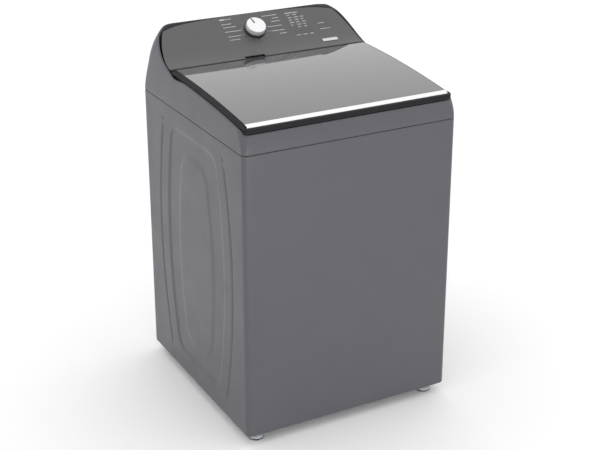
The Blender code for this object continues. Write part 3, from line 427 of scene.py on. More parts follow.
# %% Cabinet sizes
cabinet_low, cabinet_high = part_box("cabinet")
HALF_W, HALF_D = cabinet_high[0], cabinet_high[1]
SHEET_Z0, SEAM_Z = cabinet_low[2], cabinet_high[2]
CORNER_R = 0.016
SHEET_MM = 1.0
print("cabinet", round(2 * HALF_W, 4), "x", round(2 * HALF_D, 4), "m, up to", round(SEAM_Z, 4))

# %% Pressed sides
PRESSING_MID_Y = -0.012
PANEL_DEPTH, INNER_RISE, RIB_DEPTH = 0.0034, 0.0020, 0.0030


def barrel_edge(across, z, half_width, bow, mid_z, half_height, top, bottom, corner):
    """Distance in from the outline of a barrel shape with bowed sides and rounded corners."""
    side = half_width - bow * ((z - mid_z) / half_height) ** 2 - across
    end = np.minimum(top - z, z - bottom)
    rounded = corner - np.hypot(corner - side, corner - end)
    return np.where((side < corner) & (end < corner), rounded, np.minimum(side, end))


def pressing_depth(y, z):
    """How far the side is pressed in at a point, with z from the cabinet's lower edge."""
    across = np.abs(y - PRESSING_MID_Y)
    panel = barrel_edge(across, z, 0.205, 0.045, 0.46, 0.36, 0.836, 0.068, 0.045)
    inner = barrel_edge(across, z, 0.133, 0.045, 0.44, 0.33, 0.775, 0.12, 0.06)
    depth = PANEL_DEPTH * smooth_step(panel / 0.013) - INNER_RISE * smooth_step(inner / 0.022)

    # The two ribs follow the panel's bow and fade out near the sheet's ends.
    rib = 0.260 - 0.050 * ((z - 0.46) / 0.38) ** 2
    fade = smooth_step((z - 0.055) / 0.02) * smooth_step((0.828 - z) / 0.02)
    depth += RIB_DEPTH * np.exp(-((across - rib) / 0.0055) ** 2) * fade
    # A small dimple sits above each of the panel's upper corners.
    return depth + RIB_DEPTH * np.exp(-(np.hypot(across - 0.212, z - 0.838) / 0.006) ** 2)


print("the sides are pressed in by up to", PANEL_DEPTH * 1000, "mm")

# %% [markdown]
# The sheet's plan is one path round the machine. Points lie close together on the sides, which have
# the pressings, and further apart on the flat front.

# %% Path round the cabinet
def wrap_path():
    """Place, inward direction and pressed or not, from the rear left flange to the rear right one."""
    lip, corner_steps = 0.020, 10
    path = [((-HALF_W + lip, HALF_D), (0.0, -1.0), 0)]
    spots = [(-HALF_W, HALF_D, 90), (-HALF_W, -HALF_D, 180), (HALF_W, -HALF_D, 270), (HALF_W, HALF_D, 0)]
    for number, (x, y, start) in enumerate(spots):
        cx, cy = x - math.copysign(CORNER_R, x), y - math.copysign(CORNER_R, y)
        for step in range(corner_steps + 1):
            angle = math.radians(start + 90 * step / corner_steps)
            path.append(((cx + CORNER_R * math.cos(angle), cy + CORNER_R * math.sin(angle)),
                         (-math.cos(angle), -math.sin(angle)), 0))
        if number == 3:
            break
        end = path[-1][0]
        next_x, next_y, _ = spots[number + 1]
        is_front = number == 1
        if is_front:
            goal = (next_x - CORNER_R, y)
        else:
            goal = (x, next_y + CORNER_R) if number == 0 else (x, next_y - CORNER_R)
        steps = 30 if is_front else 170
        for step in range(1, steps):
            share = step / steps
            path.append(((end[0] + (goal[0] - end[0]) * share, end[1] + (goal[1] - end[1]) * share),
                         path[-1][1], 0 if is_front else 1))
    path.append(((HALF_W - lip, HALF_D), (0.0, -1.0), 0))
    return path


path = wrap_path()
places, inward, pressed = (np.array(values) for values in zip(*path))
print("the path has", len(path), "points")

# %% Cabinet sheet
heights = np.concatenate([[SHEET_Z0 + 0.0004], np.linspace(SHEET_Z0 + 0.002, SEAM_Z - 0.002, 178),
                          [SEAM_Z - 0.0004]])
rows = []
for number, z in enumerate(heights):
    depth = np.where(pressed > 0, pressing_depth(places[:, 1], z - SHEET_Z0), 0.0)
    rim = 0.0008 if number in (0, len(heights) - 1) else 0.0
    spots = places + inward * (depth + rim)[:, None]
    rows.append(np.column_stack([spots, np.full(len(spots), z)]))
for z, row in ((SHEET_Z0, rows[0]), (SEAM_Z, rows[-1])):
    flange = np.column_stack([places + inward * 0.010, np.full(len(places), z)])
    rows.insert(0, flange) if z == SHEET_Z0 else rows.append(flange)
cabinet = place_piece("cabinet_wrap", grid_mesh("cabinet_wrap", rows), "machine_body", enamel, ("cabinet",),
                      sharp_degrees=50, thickness=SHEET_MM / 1000)
print("cabinet wrap has", len(cabinet.data.polygons), "faces")

# %% [markdown]
# Each corner of the cabinet holds a plate inside, where a suspension rod hangs. It is a flat six-sided
# plate that clears the bend of the sheet.

# %% Gusset plates
plates = []
for sx in (-1, 1):
    for sy in (-1, 1):
        x0, y0 = sx * (HALF_W - 0.0022), sy * (HALF_D - 0.0046)
        corner = [(x0 - sx * 0.014, y0), (x0 - sx * 0.130, y0), (x0 - sx * 0.130, y0 - sy * 0.02),
                  (x0 - sx * 0.02, y0 - sy * 0.130), (x0, y0 - sy * 0.130), (x0, y0 - sy * 0.014)]
        plate = grid_mesh("plate", [[(x, y, z) for x, y in corner] for z in (0.874, 0.876)], closed=True,
                          cap_ends=True)
        plates.append(plate)
place_piece("corner_gussets", merged_mesh("corner_gussets", plates), "machine_body", zinc_plate)
print(len(plates), "corner plates")

# %% [markdown]
# ## The top
# The top is a second pressing that sits on the cabinet with a fine joint line. Its sides lean in, and
# beside the console they sweep up into two wings. The same outline rule is used at every height: a
# rounded rectangle whose sides lean in and whose rear corners grow rounder as they rise.

# %% Top panel rules
TOP_Z0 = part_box("top_panel")[0][2]
LID_LOW, LID_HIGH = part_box("lid_frame")
FASCIA_Y0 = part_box("console_fascia")[0][1]
FASCIA_Z0 = 1.0325


def lid_z(y):
    """The lid's shallow crown, front to back."""
    return 1.0310 + 0.0441 * y - 0.1250 * y * y


def fascia_z(y):
    """The console's face: level with the lid at its lower edge, then a steady slope."""
    run = np.asarray(y) - FASCIA_Y0
    return FASCIA_Z0 + 0.79 * (run - 0.038 * (1 - np.exp(-run / 0.038)))


def fascia_tilt(y):
    """The slope of the console's face, as an angle."""
    return math.atan(0.79 * (1 - math.exp(-(y - FASCIA_Y0) / 0.038)))


def fascia_half_x(y):
    """Half the console's width, which narrows between the wings."""
    return 0.337 - 0.038 * (np.maximum(np.asarray(y) - FASCIA_Y0, 0.0) / 0.139) ** 2.4


def fascia_top_y(share):
    """Where the console's upper edge lies, bowed a little from side to side."""
    return 0.3205 - 0.011 * share ** 2 - 0.0105 * share ** 10


def rear_y(z):
    """The rear face, which leans forwards as it rises."""
    return HALF_D - 0.1 * np.maximum(z - TOP_Z0, 0.0)


print("the lid's crown is at", round(lid_z(0.0), 4), "m and the console starts at y =", round(FASCIA_Y0, 4))


# %% Outline of the top
class TopOutline:
    """The top panel's plan outline at any height, for points that share a fixed order round it."""

    def __init__(self, corner_steps=14, side_steps=70, end_steps=34):
        self.first, self.second = [], []
        ends = []
        for corner in range(4):
            for step in range(corner_steps + 1):
                ends.append((corner, corner * math.pi / 2 + step * math.pi / 2 / corner_steps))
                self.first.append(ends[-1] + (1.0,))
                self.second.append(ends[-1])
            following = ((corner + 1) % 4, ((corner + 1) % 4) * math.pi / 2)
            steps = end_steps if corner in (0, 2) else side_steps
            for step in range(1, steps):
                self.first.append(ends[-1] + (1 - step / steps,))
                self.second.append(following)
        self.first = np.array(self.first)
        self.second = np.array(self.second)
        self.count = len(self.first)

    def corner_point(self, corner, angle, z, inset):
        """A point on a rounded corner. Corners 0 and 1 are at the rear, 2 and 3 at the front."""
        rise = np.maximum(z - TOP_Z0, 0.0)
        side = 0.0035 * (rise / 0.09) ** 1.5 + 0.034 * np.maximum((z - 1.03) / 0.095, 0.0) ** 2.2
        front = 0.012 * (np.maximum(np.minimum(z, 0.99) - TOP_Z0, 0.0) / 0.062) ** 2
        front_r = np.maximum(CORNER_R + 0.014 * np.minimum(rise / 0.06, 1.0) ** 2 - inset, 0.004)
        rear_r = np.maximum(CORNER_R + 0.038 * smooth_step(rise / 0.15) - inset, 0.004)
        half = HALF_W - side - inset
        radius = np.where(corner < 2, rear_r, front_r)
        cx = np.where((corner == 0) | (corner == 3), half - radius, -half + radius)
        cy = np.where(corner < 2, rear_y(z) - inset - rear_r, -HALF_D + front + inset + front_r)
        return np.stack([cx + radius * np.cos(angle), cy + radius * np.sin(angle)], axis=-1)

    def at(self, z, inset):
        """All the outline's points at a height, moved in by an inset."""
        a = self.corner_point(self.first[:, 0], self.first[:, 1], z, inset)
        b = self.corner_point(self.second[:, 0], self.second[:, 1], z, inset)
        share = self.first[:, 2:3]
        return a * share + b * (1 - share)


def rim_z(y):
    """Height of the top's upper edge: a rim beside the lid, and wings beside the console."""
    rim = (lid_z(y) - 0.0130 - 0.006 * smooth_step((y - 0.04) / 0.07)
           - 0.0085 * smooth_step((-0.326 - y) / 0.014))
    wing = fascia_z(np.maximum(y - 0.004, FASCIA_Y0)) + 0.002
    share = smooth_step((y - 0.115) / 0.075)
    return rim * (1 - share) + wing * share


def upper_edge(outline, inset):
    """Where the leaning sides meet the rim's height, found by closing in on it step by step."""
    z = np.full(outline.count, 1.0)
    for _ in range(40):
        spots = outline.at(z, inset)
        z = z + (rim_z(np.minimum(spots[:, 1], 0.318)) - z) * 0.5
    return np.column_stack([outline.at(z, inset), z])


outline = TopOutline()
edge = upper_edge(outline, 0.0)
print("the outline has", outline.count, "points")

# %% [markdown]
# The pressing is one surface that starts under the joint line, climbs the apron and the wings, folds
# over the rim, and then drops to the deck under the lid and runs in to the tub's mouth.

# %% Apron, wings and rim
fold = 0.0035
base_z = np.full(outline.count, TOP_Z0)
rows = [np.column_stack([outline.at(base_z, inset), base_z]) for inset in (0.010, 0.0008)]
for share in np.linspace(0.0, 1.0, 22):
    z = TOP_Z0 + 0.001 + (edge[:, 2] - fold - TOP_Z0 - 0.001) * share
    rows.append(np.column_stack([outline.at(z, 0.0), z]))
for step in range(1, 6):
    angle = step / 5 * math.pi / 2
    z = edge[:, 2] - fold * (1 - math.sin(angle))
    rows.append(np.column_stack([outline.at(z, fold * (1 - math.cos(angle)) * 0.6), z]))
rim = rows[-1]
print("the rim runs from", round(rim[:, 2].min(), 3), "to", round(rim[:, 2].max(), 3), "m high")

# %% Deck and mouth
MOUTH_Y, MOUTH_HALF_X, MOUTH_HALF_Y, MOUTH_POWER = -0.10, 0.238, 0.193, 2.8
flange_w = np.where(rim[:, 1] < 0.10, 0.0100, 0.0016)
rim_x = np.abs(rim[:, 0])
shrink = np.where(rim_x > 0.05, (rim_x - flange_w) / np.maximum(rim_x, 0.01), 1.0)
inner_y = np.where(rim[:, 1] < -0.30, rim[:, 1] + flange_w, rim[:, 1])
inner_y = np.where(rim[:, 1] > 0.30, rim[:, 1] - flange_w, inner_y)
inner_x = np.where((rim_x > 0.30) | (rim[:, 1] > 0.15), rim[:, 0] * shrink, rim[:, 0])
rows.append(np.column_stack([inner_x, inner_y, rim[:, 2]]))
deck_z = np.minimum(lid_z(inner_y) - 0.034, 0.996)
deck_edge = np.column_stack([inner_x * 0.9975, np.minimum(inner_y, 0.325) * 0.9975, deck_z])
rows.append(deck_edge + [0, 0, 0.004])
rows.append(deck_edge)
# The mouth is a superellipse, squarer than an oval.
heading = np.arctan2((deck_edge[:, 1] - MOUTH_Y) / 0.24, deck_edge[:, 0] / 0.33)
reach = (np.abs(np.cos(heading) / MOUTH_HALF_X) ** MOUTH_POWER
         + np.abs(np.sin(heading) / MOUTH_HALF_Y) ** MOUTH_POWER) ** (-1 / MOUTH_POWER)
mouth = np.column_stack([reach * np.cos(heading), MOUTH_Y + reach * np.sin(heading)])
for out, drop in ((0.75, 0.034), (0.5, 0.034), (0.25, 0.034), (0.06, 0.034), (0.02, 0.0346), (0.0, 0.0364)):
    spot = mouth + (deck_edge[:, :2] - mouth) * out
    level = (lid_z(mouth[:, 1]) - drop) * (1 - out) + deck_edge[:, 2] * out
    rows.append(np.column_stack([spot, level]))
to_middle = np.array([0.0, MOUTH_Y]) - mouth
rows.append(np.column_stack([mouth + to_middle * 0.006, lid_z(mouth[:, 1]) - 0.040]))
rows.append(np.column_stack([mouth + to_middle * 0.015, np.full(outline.count, 0.948)]))
print("the top pressing has", len(rows), "rows of points")

# %% Top pressing
top_mesh = grid_mesh("top_pressing", rows, closed=True)
# One window is for the ports at the rear and the other is for the bleach cup in the deck.
cut_window(top_mesh, (-0.235, 0.300, 0.945), (0.235, 0.380, 1.085))
cup_low, cup_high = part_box("bleach_dispenser")
cut_window(top_mesh, (cup_low[0] + 0.004, cup_low[1] + 0.004, 0.97),
           (cup_high[0] - 0.004, cup_high[1] - 0.004, 1.02))
top = place_piece("top_pressing", top_mesh, "machine_body", enamel, ("top_panel",), sharp_degrees=40,
                  thickness=0.0010)
print("top pressing has", len(top.data.polygons), "faces")

# %% [markdown]
# ## The console
# The control panel is a moulding that leaves the lid level and sweeps up to a steady slope. Its lower
# edge is a small bullnose that catches the light as one thin line.

# %% Console moulding
across, up = 96, 56
shares = np.linspace(-1.0, 1.0, across + 1)
rows = []
bottom = fascia_half_x(FASCIA_Y0)
for y, z in ((0.0006, -0.0060), (0.0, -0.0030), (0.0001, -0.0014), (0.0006, -0.0005), (0.0014, -0.0001)):
    rows.append(np.column_stack([shares * bottom, np.full(across + 1, FASCIA_Y0 + y),
                                 np.full(across + 1, FASCIA_Z0 + z)]))
for j in range(up + 1):
    y = FASCIA_Y0 + 0.0028 + (fascia_top_y(shares) - FASCIA_Y0 - 0.0028) * j / up
    rows.append(np.column_stack([shares * fascia_half_x(y), y, fascia_z(y)]))
console_mesh = grid_mesh("console_moulding", rows)
print("console surface:", len(rows), "rows of", across + 1, "points")

# %% Openings in the console
KNOB_Y, KNOB_TILT = 0.267, math.radians(35)
KEY_GAP = 0.0003
# Each key's place along X and Y, and its width and length.
KEY_SIZES = {"start_key": (0.240, 0.268, 0.036, 0.012), "power_key": (0.240, 0.2485, 0.036, 0.012),
             "option_key_1": (0.139, 0.239, 0.017, 0.010), "option_key_2": (0.163, 0.239, 0.017, 0.010),
             "option_key_3": (0.187, 0.239, 0.017, 0.010)}


def on_panel(x, y, tilt=None):
    """The frame of a place on the panel: local X along the panel, local Z out of it."""
    turn = fascia_tilt(y) if tilt is None else tilt
    return Matrix.Translation((x, y, float(fascia_z(y)))) @ Matrix.Rotation(turn, 4, 'X')


for x, y, width, length in KEY_SIZES.values():
    half_x, half_y = width / 2 + KEY_GAP, length / 2 + KEY_GAP
    cut_window(console_mesh, (-half_x, -half_y, -0.01), (half_x, half_y, 0.01), on_panel(x, y))
cut_window(console_mesh, (-0.0062, -0.0062, -0.01), (0.0062, 0.0062, 0.01), on_panel(0.0, KNOB_Y, KNOB_TILT))
lock_low, lock_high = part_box("lid_lock_housing")
cut_window(console_mesh, (lock_low[0] - 0.002, FASCIA_Y0 - 0.010, FASCIA_Z0 - 0.02),
           (lock_high[0] + 0.002, FASCIA_Y0 + 0.0130, FASCIA_Z0 + 0.02))
console = place_piece("console_moulding", console_mesh, "machine_body", console_abs, ("console_fascia",),
                      sharp_degrees=50, thickness=0.0025)
print("console moulding has", len(console.data.polygons), "faces")

# %% [markdown]
# ## Printed legends
# The panel is screen printed. No words belong on this model, so each legend is a row of short dashes
# about as long as a word. They are thin raised films of ink that follow the panel's curve.

# %% Legends
ink = random.Random(7)
INK_FILM = 0.00012


def ink_dash(x0, x1, y, tall):
    """One dash of ink on the panel, 0.18 mm proud of it."""
    lift, rows = 0.00018, []
    for edge_y in (y - tall / 2, y + tall / 2):
        tilt = fascia_tilt(edge_y)
        rows.append([(x, edge_y - math.sin(tilt) * lift, float(fascia_z(edge_y)) + math.cos(tilt) * lift)
                     for x in np.linspace(x0, x1, 3)])
    return grid_mesh("dash", rows)


def ink_words(x0, x1, y, tall=0.0016):
    """Dashes with small gaps from x0 to x1, like a line of print seen from afar."""
    dashes, x = [], x0
    while x < x1 - 0.0012:
        end = min(x + ink.uniform(0.0022, 0.0052), x1)
        dashes.append(ink_dash(x, end, y, tall))
        x = end + ink.uniform(0.0007, 0.0012)
    return dashes


# Each line of print runs from x0 to x1 at a height y on the panel.
left_lines = [(-0.103, -0.061, 0.310), (-0.103, -0.068, 0.295), (-0.101, -0.058, 0.285),
              (-0.101, -0.045, 0.271),
              (-0.098, -0.056, 0.255), (-0.097, -0.061, 0.244)]
right_lines = [(0.044, 0.096, 0.305), (0.076, 0.098, 0.295), (0.067, 0.100, 0.285), (0.048, 0.099, 0.270),
               (0.055, 0.102, 0.255), (0.078, 0.104, 0.244)]
legends = []
for x0, x1, y in left_lines + right_lines + [(0.224, 0.247, 0.2595), (0.224, 0.259, 0.2400)]:
    legends += ink_words(x0, x1, y)
legends += ink_words(0.126, 0.172, 0.304, 0.0022)
legends += [ink_dash(-0.103, -0.086, 0.310, 0.0032)]
for column, x in enumerate((0.130, 0.152, 0.174)):
    for row, y in enumerate((0.297, 0.289, 0.281, 0.273, 0.265, 0.257)):
        if (column, row) not in ((0, 5), (2, 0)):
            legends += ink_words(x, x + ink.uniform(0.008, 0.015), y, 0.0018)
for x, width in ((0.1315, 0.015), (0.1555, 0.015), (0.1795, 0.015)):
    legends += ink_words(x, x + width, 0.2300, 0.0018)
place_piece("white_legends", merged_mesh("white_legends", legends), "machine_body", white_ink,
            thickness=INK_FILM, outward=True)
print(len(legends), "dashes of print")

# %% Ticks round the knob
TICK_RING = 0.0425
ticks = []
for number in range(12):
    angle = math.radians(30 * number + 15)
    x, y = TICK_RING * math.cos(angle), KNOB_Y + TICK_RING * math.sin(angle) * math.cos(KNOB_TILT)
    ticks.append(ink_dash(x - 0.0012, x + 0.0012, y, 0.0022))
for x0, x1, y in ((-0.044, -0.041, 0.2705), (-0.055, -0.041, 0.2558), (0.041, 0.054, 0.2558)):
    ticks.append(ink_dash(x0, x1, y, 0.0009))
place_piece("grey_ticks", merged_mesh("grey_ticks", ticks), "machine_body", grey_ink,
            thickness=INK_FILM, outward=True)
print(len(ticks), "ticks round the knob")

# %% [markdown]
# ## The knob
# The cycle knob is a moulded cap with a silver coat. Its rim is rounded, its face is very slightly
# dished, and a dark line on the face shows which way it points. It turns on a dark ring.

# %% Knob
knob_frame = on_panel(0.0, KNOB_Y, KNOB_TILT)
KNOB_BASE, KNOB_TOP, KNOB_R = 0.0080, 0.0245, 0.0315
profile = [(0.0, KNOB_TOP - 0.0010), (0.012, KNOB_TOP - 0.0009), (0.022, KNOB_TOP - 0.0006),
           (0.0275, KNOB_TOP - 0.0001)]
for step in range(7):
    angle = math.pi / 2 * step / 6
    profile.append((KNOB_R - 0.0030 + 0.0030 * math.sin(angle), KNOB_TOP - 0.0030 + 0.0030 * math.cos(angle)))
profile += [(KNOB_R + 0.0001, KNOB_BASE + 0.006), (KNOB_R + 0.0004, KNOB_BASE + 0.0006),
            (KNOB_R + 0.0001, KNOB_BASE), (KNOB_R - 0.0030, KNOB_BASE), (KNOB_R - 0.0032, KNOB_TOP - 0.004),
            (0.0070, KNOB_TOP - 0.004),
            (0.0055, KNOB_TOP - 0.006), (0.0055, -0.012), (0.0, -0.012)]
place_piece("cycle_knob", moved(turned_mesh("cycle_knob", profile, steps=96), knob_frame), "knob",
            knob_paint, ("control_knob",), sharp_degrees=40)
pointer = block_mesh("knob_pointer", (-0.0019, 0.009, KNOB_TOP - 0.0012), (0.0019, 0.0290, KNOB_TOP + 0.0002),
                     0.0003)
pointer_frame = knob_frame @ Matrix.Rotation(math.radians(18), 4, 'Z')
place_piece("knob_pointer", moved(pointer, pointer_frame), "knob", black_abs)
ring = [(0.0325, 0.0070), (0.0336, 0.0066), (0.0342, 0.0058), (0.0344, 0.0020), (0.0344, 0.0006),
        (0.0095, 0.0006),
        (0.0095, 0.0072), (0.0315, 0.0072)]
place_piece("dial_ring", moved(turned_mesh("dial_ring", ring, steps=96, closed=True), knob_frame),
            "machine_body",
            black_abs, ("knob_dial_ring",))
print("knob stands", round(KNOB_TOP * 1000, 1), "mm above the panel")

# %% [markdown]
# ## The lid
# The lid is a slim frame round a sheet of glass, with a bright strip along the front. The frame's
# front drops into a grip with two fine grooves. All of it follows one shallow crown, front to back.

# %% Lid frame
LID_X, LID_FRONT, LID_REAR = LID_HIGH[0], LID_LOW[1], LID_HIGH[1]
BORDER = 0.013


def lid_ring(inset, drop, front_drop, blend_from=-0.312):
    """A ring of points round the lid at an inset, below its crown by a drop that changes at the front."""
    front_r, rear_r, points = max(0.014 - inset, 0.003), max(0.006 - inset, 0.003), []
    corners = [(LID_X - inset, LID_REAR - inset, rear_r, 0), (-LID_X + inset, LID_REAR - inset, rear_r, 1),
               (-LID_X + inset, LID_FRONT + inset, front_r, 2),
               (LID_X - inset, LID_FRONT + inset, front_r, 3)]
    for number, (x, y, radius, turn) in enumerate(corners):
        cx, cy = x - math.copysign(radius, x), y - math.copysign(radius, y)
        for step in range(9):
            angle = turn * math.pi / 2 + step * math.pi / 16
            points.append((cx + radius * math.cos(angle), cy + radius * math.sin(angle)))
        nx, ny, nr, nturn = corners[(number + 1) % 4]
        goal = (nx - math.copysign(nr, nx) + nr * math.cos(nturn * math.pi / 2),
                ny - math.copysign(nr, ny) + nr * math.sin(nturn * math.pi / 2))
        start, steps = points[-1], 60 if number in (1, 3) else 16
        points += [(start[0] + (goal[0] - start[0]) * s / steps, start[1] + (goal[1] - start[1]) * s / steps)
                   for s in range(1, steps)]
    spots = np.array(points)
    share = smooth_step((blend_from - spots[:, 1]) / 0.013)
    level = lid_z(spots[:, 1]) - drop * (1 - share) - front_drop * share
    return np.column_stack([spots, level])


print("the lid is", round(2 * LID_X, 4), "m wide and", round(LID_REAR - LID_FRONT, 4), "m deep")

# %% Lid surround
# The rings run from under the grip up its face, which has two fine grooves, and over the border to
# the ledge that holds the glass. The skirt hangs lower along the front only.
SKIRT = -0.330
rows = [lid_ring(0.0036, 0.0110, 0.0190, SKIRT), lid_ring(0.0012, 0.0110, 0.0190, SKIRT),
        lid_ring(0.0002, 0.0108, 0.0182, SKIRT), lid_ring(0.0, 0.0106, 0.0165, SKIRT),
        lid_ring(0.0, 0.0104, 0.0142, SKIRT), lid_ring(0.0008, 0.0103, 0.0137, SKIRT),
        lid_ring(0.0008, 0.0102, 0.0131, SKIRT), lid_ring(0.0, 0.0101, 0.0126, SKIRT),
        lid_ring(0.0, 0.0100, 0.0096, SKIRT), lid_ring(0.0008, 0.0098, 0.0091, SKIRT),
        lid_ring(0.0008, 0.0097, 0.0085, SKIRT), lid_ring(0.0, 0.0096, 0.0080),
        lid_ring(0.0, 0.0094, 0.0064), lid_ring(0.0006, 0.0088, 0.0055), lid_ring(0.0020, 0.0078, 0.0050),
        lid_ring(0.0055, 0.0048, 0.0050), lid_ring(0.0090, 0.0019, 0.0050),
        lid_ring(BORDER - 0.0012, 0.0, 0.0050),
        lid_ring(BORDER - 0.0006, 0.0003, 0.0050), lid_ring(BORDER - 0.0004, 0.0052, 0.0052),
        lid_ring(BORDER + 0.016, 0.0052, 0.0052)]
frame_mesh = grid_mesh("lid_surround", rows, closed=True)
# Two notches in the rear edge are for the hinges.
HINGE_X, NOTCH_HALF = 0.2995, 0.0185
for side in (-1, 1):
    cut_window(frame_mesh, (side * HINGE_X - NOTCH_HALF, 0.1490, 1.0150),
               (side * HINGE_X + NOTCH_HALF, 0.1560, 1.0330))
lid_surround = place_piece("lid_surround", frame_mesh, "lid", lid_abs, ("lid_frame",), sharp_degrees=35,
                           thickness=0.0015)
print("lid surround has", len(lid_surround.data.polygons), "faces")

# %% [markdown]
# The glass lies on the ledge and follows the crown. The strip is a bright extrusion that closes the
# front edge of the glass and curls down over the grip.

# %% Glass pane and bright strip
y0, y1, half = LID_FRONT + 0.026, LID_REAR - BORDER - 0.0008, LID_X - BORDER - 0.0008
rows = [[(x, y, lid_z(y)) for x in np.linspace(-half, half, 41)] for y in np.linspace(y0, y1, 41)]
place_piece("glass_pane", grid_mesh("glass_pane", rows), "lid", glass, ("lid_glass",), thickness=0.0040)
strip = [(y0 - 0.0006, 0.0004), (y0 - 0.0012, 0.0), (-0.3310, 0.0001), (-0.3345, 0.0004), (-0.3360, 0.0010),
         (-0.3366, 0.0018), (-0.3368, 0.0048)]
strip_half = LID_X - 0.0130
rows = [[(x, y, lid_z(y) - drop) for x in np.linspace(-strip_half, strip_half, 9)] for y,
        drop in reversed(strip)]
place_piece("bright_strip", grid_mesh("bright_strip", rows), "lid", bright_aluminium, ("lid_front_trim",),
            thickness=0.0010)
print("glass is", round(2 * half, 3), "m wide and", round(y1 - y0, 3), "m deep")

# %% [markdown]
# ## The feet
# A foot is a threaded steel stem with a flange, a grey pad under it, and a rubber sole that grips the
# floor. The thread is a stack of rings here, since a real helix this small would look the same.

# %% Feet
FOOT_X, FOOT_Y = 0.300, 0.309
FEET = (("front_left", -FOOT_X, -FOOT_Y), ("front_right", FOOT_X, -FOOT_Y),
        ("rear_left", -FOOT_X, FOOT_Y), ("rear_right", FOOT_X, FOOT_Y))
for name, x, y in FEET:
    sole = [(0.0, 0.0042), (0.0224, 0.0042), (0.0235, 0.0034), (0.0235, 0.0012), (0.0222, 0.0), (0.0, 0.0)]
    place_piece(f"foot_sole_{name}", turned_mesh("sole", sole, (x, y, 0), steps=56), f"{name}_foot", rubber)
    pad = [(0.0, 0.0100), (0.0160, 0.0100), (0.0200, 0.0130), (0.0215, 0.0133), (0.0226, 0.0124),
           (0.0231, 0.0105), (0.0231, 0.0043), (0.0, 0.0043)]
    place_piece(f"foot_pad_{name}", turned_mesh("pad", pad, (x, y, 0), steps=56), f"{name}_foot", grey_pp,
                (f"foot_{name}",))
    thread = [(0.0, 0.098), (0.0038, 0.098)]
    for turn in range(48):
        z = 0.0965 - turn * 0.0015
        thread += [(0.0050, z), (0.0043, z - 0.00075)]
    thread += [(0.0050, 0.0235), (0.0050, 0.0222), (0.0120, 0.0222), (0.0140, 0.0205), (0.0195, 0.0160),
               (0.0205, 0.0140), (0.0200, 0.0128), (0.0150, 0.0104), (0.0, 0.0104)]
    place_piece(f"foot_stem_{name}", turned_mesh("stem", thread, (x, y, 0), steps=40), f"{name}_foot",
                zinc_plate)
print(len(FEET), "feet")

# %% [markdown]
# ## The drum
# The basket is a stainless sheet rolled into a drum and punched with rows of small holes. Each hole
# here is a face of the grid, inset and then taken out, before the sheet gets its thickness.

# %% Drum wall
AXIS_Y = -0.010
basket_low, basket_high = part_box("basket")
DRUM_R, DRUM_TOP, DRUM_LOW = basket_high[0], basket_high[2], basket_low[2] + 0.012
bm = bmesh.new()
around, tall = 192, 58
z_rows = np.linspace(DRUM_LOW + 0.034, DRUM_TOP, tall + 1)
# Twelve shallow flutes stiffen the wall.
angles = np.linspace(0, 2 * math.pi, around, False)
wall_r = DRUM_R - 0.0016 * (1 + np.cos(12 * angles)) * 0.5
verts = [[bm.verts.new((r * math.cos(a), AXIS_Y + r * math.sin(a), z)) for r, a in zip(wall_r, angles)]
         for z in z_rows]
holes = []
for r in range(tall):
    for i in range(around):
        j = (i + 1) % around
        face = bm.faces.new((verts[r][i], verts[r][j], verts[r + 1][j], verts[r + 1][i]))
        if r % 2 == 1 and (i + r // 2) % 2 == 0 and 2 < r < tall - 8:
            holes.append(face)
bmesh.ops.inset_individual(bm, faces=holes, thickness=0.0022)
bmesh.ops.delete(bm, geom=holes, context='FACES')
drum_mesh = bpy.data.meshes.new("drum_wall")
bm.to_mesh(drum_mesh)
bm.free()
place_piece("drum_wall", drum_mesh, "wash_basket", brushed_stainless, ("basket",), thickness=0.0010)
print(len(holes), "holes in the drum")

# %% Drum floor
floor_profile = [(DRUM_R - 0.0008, DRUM_LOW + 0.0342), (DRUM_R - 0.0022, DRUM_LOW + 0.022),
                 (DRUM_R - 0.009, DRUM_LOW + 0.008), (DRUM_R - 0.020, DRUM_LOW + 0.0005),
                 (0.070, DRUM_LOW - 0.0118), (0.0315, DRUM_LOW - 0.0118),
                 (0.0315, DRUM_LOW + 0.0055), (0.040, DRUM_LOW + 0.0055), (0.042, DRUM_LOW - 0.009),
                 (0.071, DRUM_LOW - 0.009), (DRUM_R - 0.021, DRUM_LOW + 0.003),
                 (DRUM_R - 0.011, DRUM_LOW + 0.0095),
                 (DRUM_R - 0.0040, DRUM_LOW + 0.022), (DRUM_R - 0.0030, DRUM_LOW + 0.0342)]
drum_floor = turned_mesh("drum_floor", floor_profile, (0, AXIS_Y, 0), steps=96, closed=True)
place_piece("drum_floor", drum_floor, "wash_basket", brushed_stainless)
print("drum floor has", len(drum_floor.polygons), "faces")

# %% [markdown]
# ## The balance ring
# A hollow plastic ring filled with brine sits on the drum's upper edge and steadies it as it spins. It
# is the pale ring that shows first when the lid opens. One turned profile gives it its rolled lip.

# %% Balance ring
ring_low, ring_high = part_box("balance_ring")
ring_top, outer = ring_high[2], ring_high[0]
profile = [(outer - 0.0008, ring_top - 0.003), (outer, ring_top - 0.006), (outer, DRUM_TOP - 0.0115),
           (DRUM_R + 0.0010, DRUM_TOP - 0.0115), (DRUM_R + 0.0010, DRUM_TOP + 0.0006),
           (DRUM_R - 0.0030, DRUM_TOP + 0.0006),
           (DRUM_R - 0.0030, DRUM_TOP - 0.021), (0.240, DRUM_TOP - 0.0165), (0.2355, DRUM_TOP - 0.010),
           (0.2342, DRUM_TOP - 0.004), (0.2345, ring_top - 0.010), (0.2375, ring_top - 0.0055),
           (0.242, ring_top - 0.003), (0.247, ring_top - 0.0022), (DRUM_R - 0.004, ring_top - 0.0022)]
place_piece("drum_balance_ring", turned_mesh("drum_balance_ring", profile, (0, AXIS_Y, 0), steps=128,
                                             closed=True),
            "wash_basket", grey_pp, ("balance_ring",), sharp_degrees=50)
print("balance ring is", round(2 * outer, 3), "m across")

